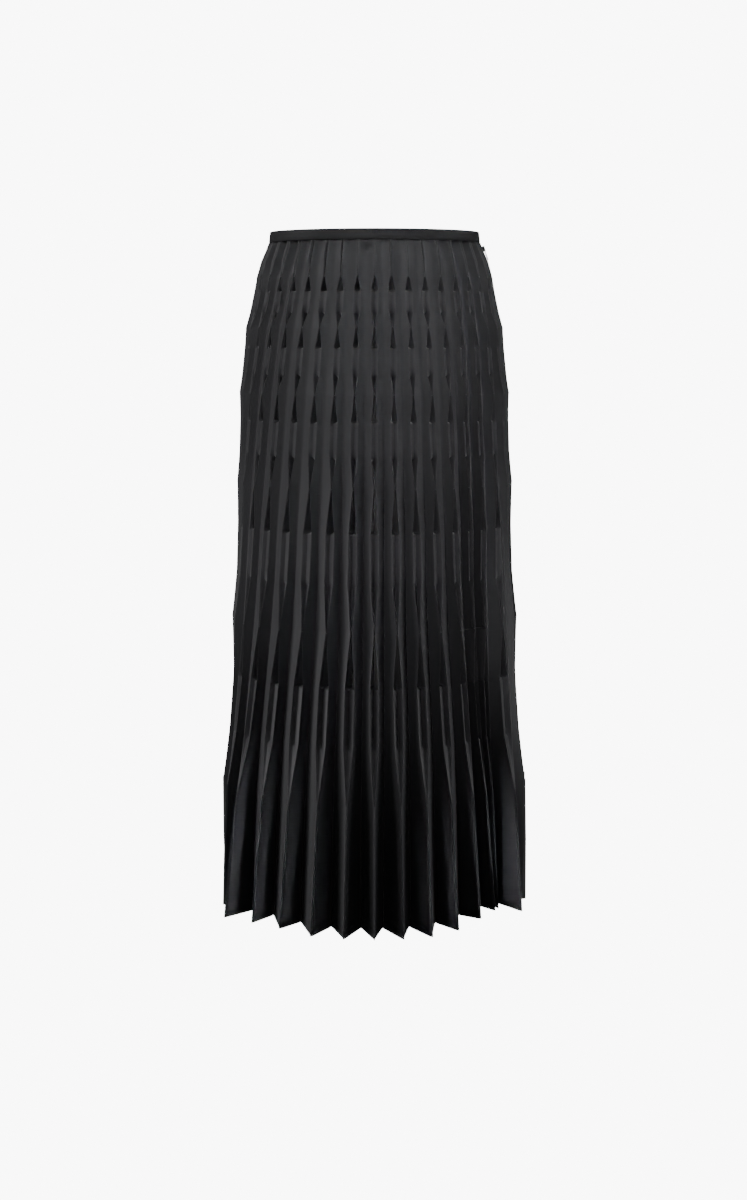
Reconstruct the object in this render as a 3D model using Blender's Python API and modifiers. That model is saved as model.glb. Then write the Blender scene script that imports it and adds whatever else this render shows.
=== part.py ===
"""Pleated maxi skirt: two pleated panels, a narrow waistband and a concealed side zip.

Metres, +Z up, the front faces -Y.  The origin is the middle of the waist, level with the
top edge of the waistband.  Each panel is a thin pleated wall through the rings of LEVELS.
Every ridge runs from waist to hem and is pushed inward five times, which leaves a column
of long sunk diamonds; the valleys between the ridges stay straight.
"""
import math
from collections import namedtuple

import bpy
import numpy as np

CM = 0.01
MM = 0.001

# ---- the cloth and the pleats
CLOTH = 1.2 * MM            # wall of the pleated cloth
SEAM_GAP = 0.3 * MM         # space left where two pieces meet
PLEATS_PER_PANEL = 19       # ridges in the front and again in the back
HALF = PLEATS_PER_PANEL / 2
TURN = 2 * PLEATS_PER_PANEL
BLUNT = 0.04                # share of a plain ridge that carries the ring's spare points
OVAL_STEPS = 720

# One row a ring, from the waist down, in centimetres.
#   drop        below the top edge of the waistband
#   half_width  middle to the ridges at the side
#   half_depth  middle to the ridges in front
#   seat        how much fuller the back is than the front
#   face        ridge to valley, measured on the cloth
#   sunk        share of each face that is folded inward (0 = plain ridge)
#   fan         how much wider than the mean the front pleats stand
#   lean        how much wider the pleats of the wearer's right stand
#   gather      how far the pleats before the left side close up
#   square      how far the folds turn from square to the oval towards straight back
#   dent        how far the cloth before the left side is drawn in
Level = namedtuple(
    "Level", "name drop half_width half_depth seat face sunk fan lean gather square dent"
)
LEVELS = (
    Level("seam",    1.33, 13.08,  9.50, 0.05, 0.98, 0.00,  0.00, 0.00, 0.0, 0.00, 0.00),
    Level("yoke_a",  2.40, 13.52,  9.72, 0.15, 1.02, 0.00,  0.00, 0.00, 0.0, 0.00, 0.00),
    Level("yoke_b",  3.60, 14.08,  9.95, 0.25, 1.07, 0.00, -0.01, 0.00, 0.0, 0.00, 0.00),
    Level("node_0",  5.60, 14.67, 10.25, 0.45, 1.12, 0.00, -0.03, 0.00, 0.0, 0.10, 0.00),
    Level("base_1",  7.30, 15.12, 10.55, 0.60, 1.17, 0.35, -0.04, 0.00, 0.0, 0.15, 0.00),
    Level("low_1",   9.70, 15.65, 10.90, 0.80, 1.22, 0.34, -0.05, 0.02, 0.0, 0.20, 0.00),
    Level("node_1",  11.6, 16.04, 11.25, 0.95, 1.26, 0.00, -0.05, 0.04, 0.0, 0.25, 0.00),
    Level("base_2",  14.0, 16.35, 11.60, 1.10, 1.31, 0.28, -0.05, 0.05, 0.0, 0.30, 0.00),
    Level("low_2",   17.1, 16.70, 11.95, 1.30, 1.37, 0.27, -0.05, 0.07, 0.1, 0.35, 0.00),
    Level("node_2",  19.5, 16.90, 12.25, 1.40, 1.42, 0.00, -0.04, 0.08, 0.1, 0.40, 0.00),
    Level("base_3",  22.8, 17.08, 12.50, 1.50, 1.47, 0.28, -0.04, 0.10, 0.2, 0.45, 0.00),
    Level("low_3",   26.8, 17.25, 12.75, 1.55, 1.52, 0.27, -0.03, 0.12, 0.2, 0.50, 0.00),
    Level("node_3",  30.6, 17.42, 13.00, 1.55, 1.60, 0.00, -0.02, 0.14, 0.3, 0.55, 0.00),
    Level("base_4",  36.0, 17.68, 13.35, 1.50, 1.72, 0.31,  0.00, 0.16, 0.4, 0.60, 0.00),
    Level("low_4",   41.9, 17.95, 13.70, 1.45, 1.87, 0.30,  0.01, 0.18, 0.6, 0.65, 0.00),
    Level("node_4",  47.8, 18.23, 14.10, 1.40, 2.05, 0.00,  0.03, 0.20, 0.7, 0.70, 0.00),
    Level("base_5",  54.7, 18.70, 14.60, 1.35, 2.34, 0.31,  0.06, 0.23, 0.9, 0.73, 0.10),
    Level("low_5",   61.8, 19.20, 15.10, 1.30, 2.66, 0.29,  0.09, 0.26, 1.0, 0.75, 0.25),
    Level("node_5",  68.8, 19.65, 15.55, 1.25, 3.16, 0.00,  0.12, 0.30, 1.0, 0.75, 0.45),
    Level("fall",    77.0, 19.78, 16.00, 1.20, 4.02, 0.00,  0.17, 0.34, 0.9, 0.75, 0.75),
    Level("hem",     85.3, 19.85, 16.40, 1.20, 4.70, 0.00,  0.22, 0.38, 0.7, 0.75, 1.00),
)

# How far the ridges and valleys before the wearer's left side shift towards the front
# when gather is 1, in pleats: the place counted from the centre front, and the shift.
GATHER_PLACES = (4.0, 4.5, 5.0, 5.5, 6.0, 6.5, 7.0, 7.5, 8.0)
GATHER_SHIFTS = (0.0, 0.12, 0.38, 0.60, 0.85, 1.00, 0.55, 0.18, 0.0)

# How far the same places move back when dent is 1, and how far some ridges
# move towards +X with it, in centimetres.
DENT_PLACES = (-8.0, -6.0, -5.0, -4.0, -3.0, -2.0, 2.0, 3.0, 4.0, 5.0, 6.0, 6.5, 7.0, 8.0, 9.0)
DENT_SHIFTS = (0.0, -1.2, -1.8, 0.0, 0.8, 0.0, 0.0, 0.9, 3.2, 4.4, 3.3, 1.6, -1.2, -0.6, 0.0)
TUCK_PLACES = (-5.5, -5.0, -4.5, 5.5, 6.0, 6.5)
TUCK_SHIFTS = (0.0, -0.9, 0.0, 0.0, -1.1, 0.0)

# How much of square the folds take on; those next to the wearer's right seam take less.
SQUARE_PLACES = (-12.0, -10.0, -8.5, -6.5)
SQUARE_SHARES = (1.0, 0.4, 0.4, 1.0)

# How far the folds on the wearer's left also turn towards the middle, as a share of square.
SKEW_PLACES = (0.0, 0.5, 7.0, 9.0)
SKEW_SHARES = (0.0, 0.2, 0.2, 0.0)

# ---- the waistband
BAND_TOP = (12.86 * CM, 9.35 * CM)      # half width and half depth at its upper edge
BAND_FOOT = (13.02 * CM, 9.47 * CM)
BAND_HEIGHT = 13.0 * MM
BAND_WALL = 2.2 * MM
BAND_OPENING = 0.8 * MM     # slit between its two ends, over the zip
BAND_STEPS = 96

# ---- the concealed zip inside the wearer's left side seam (+X)
ZIP_TOP = 9.0 * MM          # below the top edge of the waistband
ZIP_FOOT = 195.0 * MM
TAPE_WIDTH = 9.0 * MM
TAPE_WALL = 1.0 * MM
COIL_WIDTH = 3.4 * MM
COIL_WALL = 1.4 * MM
STOP_HEIGHT = 6.0 * MM

# ---- its slider and pull, outside at the top of the seam.  Sizes in millimetres in the
#      slider's own frame: the hinge is at zero, X out from the cloth and Z up along it.
SLIDER_TILT = math.radians(-21.0)
SLIDER_DROP = 20.0 * MM     # hinge below the top edge of the waistband
SLIDER_REACH = 4.4 * MM     # hinge out from the bottom of the valley
CHANNEL = (                 # the slider's section, X and Y
    (-3.0, -2.7), (1.2, -2.7), (1.2, -1.6), (-1.4, -1.6),
    (-1.4, 1.6), (1.2, 1.6), (1.2, 2.7), (-3.0, 2.7),
)
CHANNEL_HEIGHT = 7.0
CHANNEL_MIDDLE = -1.5       # along Z
PULL = (                    # the pull's face, Y and Z
    (-0.7, 0.75), (-1.25, 0.2), (-1.25, -6.0), (-2.3, -10.0), (-2.5, -13.0), (-1.9, -15.4),
    (-0.7, -16.5), (0.7, -16.5), (1.9, -15.4), (2.5, -13.0), (2.3, -10.0), (1.25, -6.0),
    (1.25, 0.2), (0.7, 0.75),
)
PULL_WALL = 1.0

# ---- the hook and the eye inside the ends of the band, in millimetres.  X is measured
#      out from their common face, 125.5 mm from the middle of the waist.
FASTENER_X = 125.5
HOOK = (                    # the bent strip's section, X and Y
    (0.0, -9.0), (0.0, 3.1), (-3.3, 3.1), (-3.3, -0.5), (-2.4, -0.5), (-2.4, 2.2),
    (-0.9, 2.2), (-0.9, -9.0),
)
HOOK_HEIGHT = 4.0
HOOK_MIDDLE = -4.5
EYE_LOW, EYE_HIGH = (-2.1, 0.6, -8.0), (-1.2, 9.0, -1.0)
EYE_PAD_LOW, EYE_PAD_HIGH = (-1.5, 4.4, -8.0), (0.0, 9.0, -1.0)
WINDOW_LOW, WINDOW_HIGH = (-4.0, 1.8, -7.0), (0.0, 3.5, -2.0)

MAIN = "pleated_maxi_skirt"


def new_collection(name):
    """Return a new collection linked to the scene."""
    collection = bpy.data.collections.new(name)
    bpy.context.scene.collection.children.link(collection)
    return collection


def finish(name, colour, roughness, metallic=0.0):
    """Return a plain surface of one colour."""
    material = bpy.data.materials.new(name)
    material.use_nodes = True
    shader = material.node_tree.nodes["Principled BSDF"]
    shader.inputs["Base Color"].default_value = (*colour, 1.0)
    shader.inputs["Roughness"].default_value = roughness
    shader.inputs["Metallic"].default_value = metallic
    return material


def add_part(collection, name, points, faces, material):
    """Add one named sub-part from its points and faces."""
    mesh = bpy.data.meshes.new(name)
    mesh.from_pydata([tuple(map(float, p)) for p in points], [], faces)
    mesh.materials.append(material)
    part = bpy.data.objects.new(name, mesh)
    collection.objects.link(part)
    return part


# ---------------------------------------------------------------- the oval of a ring
def oval(width, front, back):
    """Return the points of an oval from centre front round by +X, and their distances."""
    turn = np.linspace(0.0, 2 * math.pi, OVAL_STEPS + 1)
    depth = np.where(np.cos(turn) > 0, front, back)
    points = np.column_stack((width * np.sin(turn), -depth * np.cos(turn)))
    steps = np.hypot(*np.diff(points, axis=0).T)
    return points, np.concatenate(([0.0], np.cumsum(steps)))


def warp(level, place):
    """Return where a ridge or valley stands after fanning, leaning and gathering."""
    turn = 2 * math.pi * place / TURN
    scale = TURN / (2 * math.pi)
    moved = place + level.fan * scale * np.sin(turn)
    moved -= level.lean * scale * np.minimum(np.sin(turn), 0.0) ** 2
    shift = np.interp(place, GATHER_PLACES, GATHER_SHIFTS)
    return moved - level.gather * shift


def on_oval(level, place):
    """Return points of a ring's oval and the directions inward for pleat places."""
    width = level.half_width * CM
    front = level.half_depth * CM
    back = (level.half_depth + level.seat) * CM
    points, along = oval(width, front, back)
    quarter = OVAL_STEPS // 4
    marks = along[[0, quarter, 2 * quarter, 3 * quarter, 4 * quarter]]
    moved = np.mod(warp(level, np.asarray(place, float)), TURN)
    distance = np.interp(moved, HALF * np.arange(5), marks)
    xy = np.column_stack([np.interp(distance, along, points[:, k]) for k in (0, 1)])
    deep = np.where(xy[:, 1] < 0, front, back)
    inward = -xy / np.column_stack((np.full(len(xy), width ** 2), deep ** 2))
    inward /= np.linalg.norm(inward, axis=1)[:, None]
    side = np.mod(place + TURN / 2, TURN) - TURN / 2
    inward[:, 0] *= 1 - level.square * np.interp(side, SQUARE_PLACES, SQUARE_SHARES)
    inward[:, 0] -= level.square * np.interp(place, SKEW_PLACES, SKEW_SHARES)
    xy[:, 1] += level.dent * CM * np.interp(place, DENT_PLACES, DENT_SHIFTS)
    xy[:, 0] += level.dent * CM * np.interp(place, TUCK_PLACES, TUCK_SHIFTS)
    return xy, inward / np.linalg.norm(inward, axis=1)[:, None]


# ---------------------------------------------------------------- the pleated section
def corners(level, first):
    """Return the ridges and valleys of one panel's section and the valleys' inward sides."""
    count = PLEATS_PER_PANEL
    ridge_at = first + 0.5 + np.arange(count)
    valley_at = first + np.arange(count + 1)
    ridges, _ = on_oval(level, ridge_at)
    feet, inward = on_oval(level, valley_at)
    before = on_oval(level, valley_at - 0.5)[0]
    after = on_oval(level, valley_at + 0.5)[0]
    span = 0.5 * (np.linalg.norm(feet - before, axis=1) + np.linalg.norm(after - feet, axis=1))
    face = level.face * CM
    depth = np.sqrt(np.maximum(face ** 2 - span ** 2, (0.25 * face) ** 2))
    return ridges, feet + depth[:, None] * inward, inward


def mitred(line, wall, start, end):
    """Return a section line moved inward by the wall, with mitred corners.

    start and end are the directions inward at the two ends of the line.
    """
    runs = np.diff(line, axis=0)
    runs /= np.linalg.norm(runs, axis=1)[:, None]
    sides = np.column_stack((-runs[:, 1], runs[:, 0]))
    before, after = sides[:-1], sides[1:]
    cosine = np.sum(before * after, axis=1)
    inner = line[1:-1] + wall * (before + after) / (1 + cosine)[:, None]
    first = line[0] + start * wall / np.dot(sides[0], start)
    last = line[-1] + end * wall / np.dot(sides[-1], end)
    return np.vstack((first, inner, last))


def four_points(valleys, ridges, share, sunk):
    """Return valley, edge, middle, edge for every pleat, closed by the last valley."""
    left, right = valleys[:-1], valleys[1:]
    edge_a = ridges + share * (left - ridges)
    edge_b = ridges + share * (right - ridges)
    middle = edge_a + edge_b - ridges if sunk else ridges
    rows = np.stack((left, edge_a, middle, edge_b), axis=1).reshape(-1, 2)
    return np.vstack((rows, valleys[-1:]))


def section(level, first):
    """Return the outer and inner line of one panel at one ring."""
    ridges, valleys, inward = corners(level, first)
    if level.sunk:
        outer = four_points(valleys, ridges, level.sunk, True)
        inner = mitred(outer, CLOTH, inward[0], inward[-1])
    else:
        outer = four_points(valleys, ridges, BLUNT, False)
        plain = np.empty((2 * PLEATS_PER_PANEL + 1, 2))
        plain[0::2], plain[1::2] = valleys, ridges
        turned = mitred(plain, CLOTH, inward[0], inward[-1])
        inner = four_points(turned[0::2], turned[1::2], BLUNT, False)
    for line in (outer, inner):
        line[0] += clear_of_seam(inward[0], 1)
        line[-1] += clear_of_seam(inward[-1], -1)
    return outer, inner


def clear_of_seam(inward, side):
    """Return the shift that leaves half the seam gap at one end of a section."""
    along = np.array((inward[1], -inward[0]))
    return side * along * SEAM_GAP / 2


def lofted_wall(outer, inner):
    """Return points and faces of a wall between two grids of rings.

    Both sides are split along the same diagonals, so the wall stays as thick where a
    face twists.
    """
    rings, places = outer.shape[:2]
    points = np.vstack((outer.reshape(-1, 3), inner.reshape(-1, 3)))
    back = rings * places
    faces = []
    for r in range(rings - 1):
        for p in range(places - 1):
            a = r * places + p
            b, c, d = a + 1, a + places, a + places + 1
            faces += [(a, c, b), (b, c, d)]
            faces += [(back + a, back + b, back + c), (back + b, back + d, back + c)]
    for p in range(places - 1):
        low = (rings - 1) * places + p
        faces.append((p, p + 1, back + p + 1, back + p))
        faces.append((low + 1, low, back + low, back + low + 1))
    for r in range(rings - 1):
        start = r * places
        stop = start + places - 1
        faces.append((start, back + start, back + start + places, start + places))
        faces.append((stop, stop + places, back + stop + places, back + stop))
    return points, faces


def pleated_panel(collection, name, first, material):
    """Build one pleated panel, its first valley counted from the centre front."""
    outer, inner = [], []
    for level in LEVELS:
        height = -level.drop * CM
        for rings, line in zip((outer, inner), section(level, first)):
            rings.append(np.column_stack((line, np.full(len(line), height))))
    points, faces = lofted_wall(np.array(outer), np.array(inner))
    return add_part(collection, name, points, faces, material)


# ---------------------------------------------------------------- band, zip and hook
def shell(collection, name, rows, wall, material):
    """Build a shell: an open surface through rows of points, thickened behind its face."""
    count = len(rows[0])
    faces = []
    for r in range(len(rows) - 1):
        low = r * count
        faces += [(low + k, low + count + k, low + count + k + 1, low + k + 1)
                  for k in range(count - 1)]
    part = add_part(collection, name, np.vstack(rows), faces, material)
    solid = part.modifiers.new("wall", "SOLIDIFY")
    solid.thickness = wall
    solid.offset = -1.0
    solid.use_even_offset = True
    return part


def waistband(collection, material):
    """Build the flat band as a strip round the waist, open at the zip."""
    slit = BAND_OPENING / 2 / BAND_TOP[1]
    turn = np.linspace(math.pi / 2 + slit, 5 * math.pi / 2 - slit, BAND_STEPS + 1)
    rows = []
    for (width, depth), height in ((BAND_TOP, 0.0), (BAND_FOOT, -BAND_HEIGHT)):
        rows.append(np.column_stack((width * np.sin(turn), -depth * np.cos(turn),
                                     np.full(len(turn), height))))
    band = shell(collection, "waistband", rows, BAND_WALL, material)
    edges = band.modifiers.new("edges", "BEVEL")
    edges.width = 0.4 * MM
    edges.segments = 1
    edges.limit_method = "ANGLE"
    edges.angle_limit = math.radians(60)


def side_seam():
    """Return drop, outer X, inner X and Y of the left side seam at every ring."""
    rows = []
    for level in LEVELS:
        outer, inner = section(level, HALF)
        rows.append((level.drop * CM, outer[0, 0], inner[0, 0], inner[0, 1]))
    return np.array(rows).T


def seam_strip(collection, name, reach, set_in, wall, span, material):
    """Build a narrow strip behind the left side seam.

    reach is its two edges across the seam, set_in how far its face lies inside the seam
    and span where it starts and stops below the top of the waistband.
    """
    drops, _, inner_x, seam_y = side_seam()
    top, foot = span
    rings = [top] + [BAND_HEIGHT] * (top < BAND_HEIGHT)
    rings += [d for d in drops if max(top, BAND_HEIGHT) < d - MM and d + MM < foot] + [foot]
    rows = []
    for drop in rings:
        face = FASTENER_X * MM if drop <= BAND_HEIGHT else np.interp(drop, drops, inner_x)
        x = face - set_in
        y = np.interp(drop, drops, seam_y)
        rows.append(np.array([(x, y + edge, -drop) for edge in reach]))
    shell(collection, name, rows, wall, material)


def prism(collection, name, outline, thick, material):
    """Build a flat outline in millimetres as a filled curve, thickened both ways."""
    curve = bpy.data.curves.new(name, "CURVE")
    curve.dimensions = "2D"
    curve.fill_mode = "BOTH"
    curve.extrude = thick / 2 * MM
    spline = curve.splines.new("POLY")
    spline.points.add(len(outline) - 1)
    for point, (u, v) in zip(spline.points, outline):
        point.co = (u * MM, v * MM, 0.0, 1.0)
    spline.use_cyclic_u = True
    curve.materials.append(material)
    part = bpy.data.objects.new(name, curve)
    collection.objects.link(part)
    return part


def block(collection, name, low, high, material):
    """Build a box between two corners given in millimetres from the fastener's face."""
    middle = [(a + b) / 2 * MM for a, b in zip(low, high)]
    middle[0] += FASTENER_X * MM
    bpy.ops.mesh.primitive_cube_add(size=1.0, location=middle)
    box = bpy.context.object
    box.name = box.data.name = name
    for vertex in box.data.vertices:
        vertex.co = [c * (b - a) * MM for c, a, b in zip(vertex.co, low, high)]
    box.data.materials.append(material)
    for group in list(box.users_collection):
        group.objects.unlink(box)
    collection.objects.link(box)
    return box


def combine(part, tool, operation, cutters):
    """Join a tool to a part, or cut it out of the part."""
    for group in list(tool.users_collection):
        group.objects.unlink(tool)
    cutters.objects.link(tool)
    tool.hide_render = True
    tool.display_type = "WIRE"
    step = part.modifiers.new(tool.name, "BOOLEAN")
    step.operation = operation
    step.solver = "EXACT"
    step.object = tool


def zip_parts(collection, tape, nylon, metal):
    """Build the tapes and coil behind the seam, and the slider and pull outside it."""
    gap, span = SEAM_GAP, (ZIP_TOP, ZIP_FOOT)
    seam_strip(collection, "zip_tape_front", (-TAPE_WIDTH, -gap / 2), gap, TAPE_WALL, span, tape)
    seam_strip(collection, "zip_tape_back", (gap / 2, TAPE_WIDTH), gap, TAPE_WALL, span, tape)
    behind, half = TAPE_WALL + 2 * gap, COIL_WIDTH / 2
    coil_span = (ZIP_TOP + 4 * MM, ZIP_FOOT - STOP_HEIGHT - gap)
    seam_strip(collection, "zip_coil", (-half, half), behind, COIL_WALL, coil_span, nylon)
    stop_span = (ZIP_FOOT - STOP_HEIGHT, ZIP_FOOT)
    seam_strip(collection, "zip_bottom_stop", (-half - gap, half + gap), behind, COIL_WALL,
               stop_span, metal)
    drops, outer_x, _, _ = side_seam()
    x = np.interp(SLIDER_DROP, drops, outer_x) + SLIDER_REACH * math.cos(SLIDER_TILT)
    z = -SLIDER_DROP - SLIDER_REACH * math.sin(SLIDER_TILT)
    hinge = bpy.data.objects.new("zip_hinge", None)
    collection.objects.link(hinge)
    hinge.location = (x, 0.0, z)
    hinge.rotation_euler = (0.0, SLIDER_TILT, 0.0)
    slider = prism(collection, "zip_slider", CHANNEL, CHANNEL_HEIGHT, metal)
    slider.location = (0.0, 0.0, CHANNEL_MIDDLE * MM)
    pull = prism(collection, "zip_pull", PULL, PULL_WALL, metal)
    pull.rotation_euler = (math.pi / 2, 0.0, math.pi / 2)
    slider.parent = pull.parent = hinge


def hook_and_eye(collection, cutters, steel):
    """Build the flat hook on the front end of the band and the eye on the back end."""
    hook = prism(collection, "waist_hook", HOOK, HOOK_HEIGHT, steel)
    hook.location = (FASTENER_X * MM, 0.0, HOOK_MIDDLE * MM)
    eye = block(collection, "waist_eye", EYE_LOW, EYE_HIGH, steel)
    pad = block(collection, "eye_pad", EYE_PAD_LOW, EYE_PAD_HIGH, steel)
    window = block(collection, "eye_window", WINDOW_LOW, WINDOW_HIGH, steel)
    combine(eye, pad, "UNION", cutters)
    combine(eye, window, "DIFFERENCE", cutters)


def main():
    """Build the skirt."""
    for item in list(bpy.data.objects):
        bpy.data.objects.remove(item, do_unlink=True)
    collection = new_collection(MAIN)
    cutters = new_collection("cutters")
    cloth = finish("black_pleated_cloth", (0.030, 0.031, 0.034), 0.55)
    band_cloth = finish("black_band_cloth", (0.028, 0.029, 0.032), 0.6)
    tape = finish("black_zip_tape", (0.02, 0.02, 0.022), 0.8)
    nylon = finish("black_nylon", (0.02, 0.02, 0.022), 0.45)
    metal = finish("black_enamelled_metal", (0.03, 0.03, 0.03), 0.35, 0.6)
    steel = finish("dark_steel", (0.12, 0.12, 0.13), 0.35, 1.0)
    pleated_panel(collection, "front_panel", -HALF, cloth)
    pleated_panel(collection, "back_panel", HALF, cloth)
    waistband(collection, band_cloth)
    zip_parts(collection, tape, nylon, metal)
    hook_and_eye(collection, cutters, steel)


main()
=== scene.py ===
"""Studio scene of the pleated maxi skirt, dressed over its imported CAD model.

The front of the skirt faces -Y, +X is the wearer's left and the origin is the middle of
the waist.  The pleated cloth is one mathematical surface: rings of fold lines, joined by
straight folds, then rounded, bent and pressed by small amounts from named tables.

A drop is a distance below the top edge of the waistband.  A place counts pleats round
the skirt from centre front, growing to the wearer's left: whole numbers are ridges, and
the halves between them are valleys.
"""

from __future__ import annotations

import logging
import math
from dataclasses import dataclass, field
from enum import Enum
from typing import Sequence

import bpy
import numpy as np
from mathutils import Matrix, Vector


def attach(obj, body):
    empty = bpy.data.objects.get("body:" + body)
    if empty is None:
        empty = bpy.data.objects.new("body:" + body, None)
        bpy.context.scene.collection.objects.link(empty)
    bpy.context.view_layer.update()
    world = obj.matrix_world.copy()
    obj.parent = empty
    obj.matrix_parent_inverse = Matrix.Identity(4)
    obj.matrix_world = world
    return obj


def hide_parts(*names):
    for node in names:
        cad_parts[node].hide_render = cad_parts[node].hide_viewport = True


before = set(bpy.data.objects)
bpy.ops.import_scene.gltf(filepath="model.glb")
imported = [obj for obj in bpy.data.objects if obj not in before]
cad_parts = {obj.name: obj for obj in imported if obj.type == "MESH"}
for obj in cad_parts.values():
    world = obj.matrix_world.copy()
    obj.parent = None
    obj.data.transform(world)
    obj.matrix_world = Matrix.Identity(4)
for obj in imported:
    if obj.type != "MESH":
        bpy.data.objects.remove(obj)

logging.basicConfig(level=logging.INFO, format="%(message)s")
LOG = logging.getLogger("skirt")

CM = 0.01
MM = 0.001
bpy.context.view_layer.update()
SKIRT_BODY = "skirt"


# ------------------------------------------------------------------ named options
class Panel(Enum):
    """The two pleated panels, by the place of their first valley from centre front."""

    FRONT = -9.5
    BACK = 9.5


# ------------------------------------------------------------------ mesh making
def grid_faces(rows: int, columns: int, around: bool = False) -> np.ndarray:
    """Return the quads of a grid of points.

    Args:
        rows: number of rows of points.
        columns: number of points in a row.
        around: whether each row closes on itself.

    Returns:
        Array of corner indices, one row a quad.
    """
    reach = columns if around else columns - 1
    r, c = np.meshgrid(np.arange(rows - 1), np.arange(reach), indexing="ij")
    right = (c + 1) % columns
    a = r * columns + c
    b = r * columns + right
    return np.stack((a, a + columns, b + columns, b), axis=-1).reshape(-1, 4)


def tube_faces(rows: int, around: int, turned: bool = False) -> list[list[int]]:
    """Return the faces of a closed tube: quads from ring to ring, and its two ends.

    Args:
        rows: number of rings.
        around: number of points in a ring.
        turned: whether every face is turned to look the other way.

    Returns:
        Corner indices, one list a face.
    """
    first = list(range(around))
    last = [(rows - 1) * around + k for k in first]
    faces = grid_faces(rows, around, around=True).tolist() + [first[::-1], last]
    return [face[::-1] for face in faces] if turned else faces


def make_mesh(
    name: str,
    points: np.ndarray,
    faces: np.ndarray | list,
) -> bpy.types.Object:
    """Make a smooth mesh object from arrays and let it ride on the skirt's body.

    Args:
        name: the piece's name.
        points: array of positions in metres.
        faces: corner indices, one row a face.

    Returns:
        The new object, linked to the scene.
    """
    mesh = bpy.data.meshes.new(name)
    rows = faces.tolist() if isinstance(faces, np.ndarray) else faces
    mesh.from_pydata(np.asarray(points, float).reshape(-1, 3).tolist(), [], rows)
    mesh.polygons.foreach_set("use_smooth", np.ones(len(mesh.polygons), dtype=bool))
    mesh.update()
    piece = bpy.data.objects.new(name, mesh)
    bpy.context.scene.collection.objects.link(piece)
    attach(piece, SKIRT_BODY)
    return piece


def put_uv(piece: bpy.types.Object, flat: np.ndarray) -> None:
    """Store flat cloth coordinates, in metres, as the piece's UV map.

    Args:
        piece: mesh object.
        flat: array of one pair a vertex.
    """
    mesh = piece.data
    corner = np.empty(len(mesh.loops), dtype=np.int32)
    mesh.loops.foreach_get("vertex_index", corner)
    layer = mesh.uv_layers.new(name="cut")
    layer.data.foreach_set("uv", flat.reshape(-1, 2)[corner].astype(np.float32).ravel())


def put_value(piece: bpy.types.Object, name: str, values: np.ndarray) -> None:
    """Store one number a vertex under a name that a material can read.

    Args:
        piece: mesh object.
        name: the attribute's name.
        values: array of one number a vertex.
    """
    attribute = piece.data.attributes.new(name, "FLOAT", "POINT")
    attribute.data.foreach_set("value", values.astype(np.float32).ravel())


def thicken(piece: bpy.types.Object, wall: float) -> None:
    """Give an open surface a wall behind its face.

    Args:
        piece: mesh object.
        wall: thickness in metres.
    """
    solid = piece.modifiers.new("wall", "SOLIDIFY")
    solid.thickness = wall
    solid.offset = -1.0


# ------------------------------------------------------------------ shader maths
class Wire:
    """A number in a shader, with operators that add Math nodes."""

    def __init__(self, tree: "Tree", socket: bpy.types.NodeSocket) -> None:
        """Wrap an output socket of a material's tree."""
        self.tree = tree
        self.socket = socket

    def _op(self, operation: str, *others: "Wire | float") -> "Wire":
        """Return the result of a Math node whose first input is this number."""
        return self.tree.maths(operation, self, *others)

    def __add__(self, other: "Wire | float") -> "Wire":
        """Return self + other."""
        return self._op("ADD", other)

    def __radd__(self, other: float) -> "Wire":
        """Return other + self."""
        return self._op("ADD", other)

    def __sub__(self, other: "Wire | float") -> "Wire":
        """Return self - other."""
        return self._op("SUBTRACT", other)

    def __rsub__(self, other: float) -> "Wire":
        """Return other - self."""
        return self.tree.maths("SUBTRACT", other, self)

    def __mul__(self, other: "Wire | float") -> "Wire":
        """Return self * other."""
        return self._op("MULTIPLY", other)

    def __rmul__(self, other: float) -> "Wire":
        """Return other * self."""
        return self._op("MULTIPLY", other)

    def __truediv__(self, other: "Wire | float") -> "Wire":
        """Return self / other."""
        return self._op("DIVIDE", other)

    def __rtruediv__(self, other: float) -> "Wire":
        """Return other / self."""
        return self.tree.maths("DIVIDE", other, self)

    def sine(self) -> "Wire":
        """Return the sine of the number."""
        return self._op("SINE")

    def clamp(self) -> "Wire":
        """Return the number kept between 0 and 1."""
        return self._op("MAXIMUM", 0.0)._op("MINIMUM", 1.0)

    def step(self, low: float, high: float) -> "Wire":
        """Return 0 below low, 1 above high and the smooth rise 3t^2 - 2t^3 between them."""
        t = ((self - low) / (high - low)).clamp()
        return t * t * (3.0 - 2.0 * t)


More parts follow.
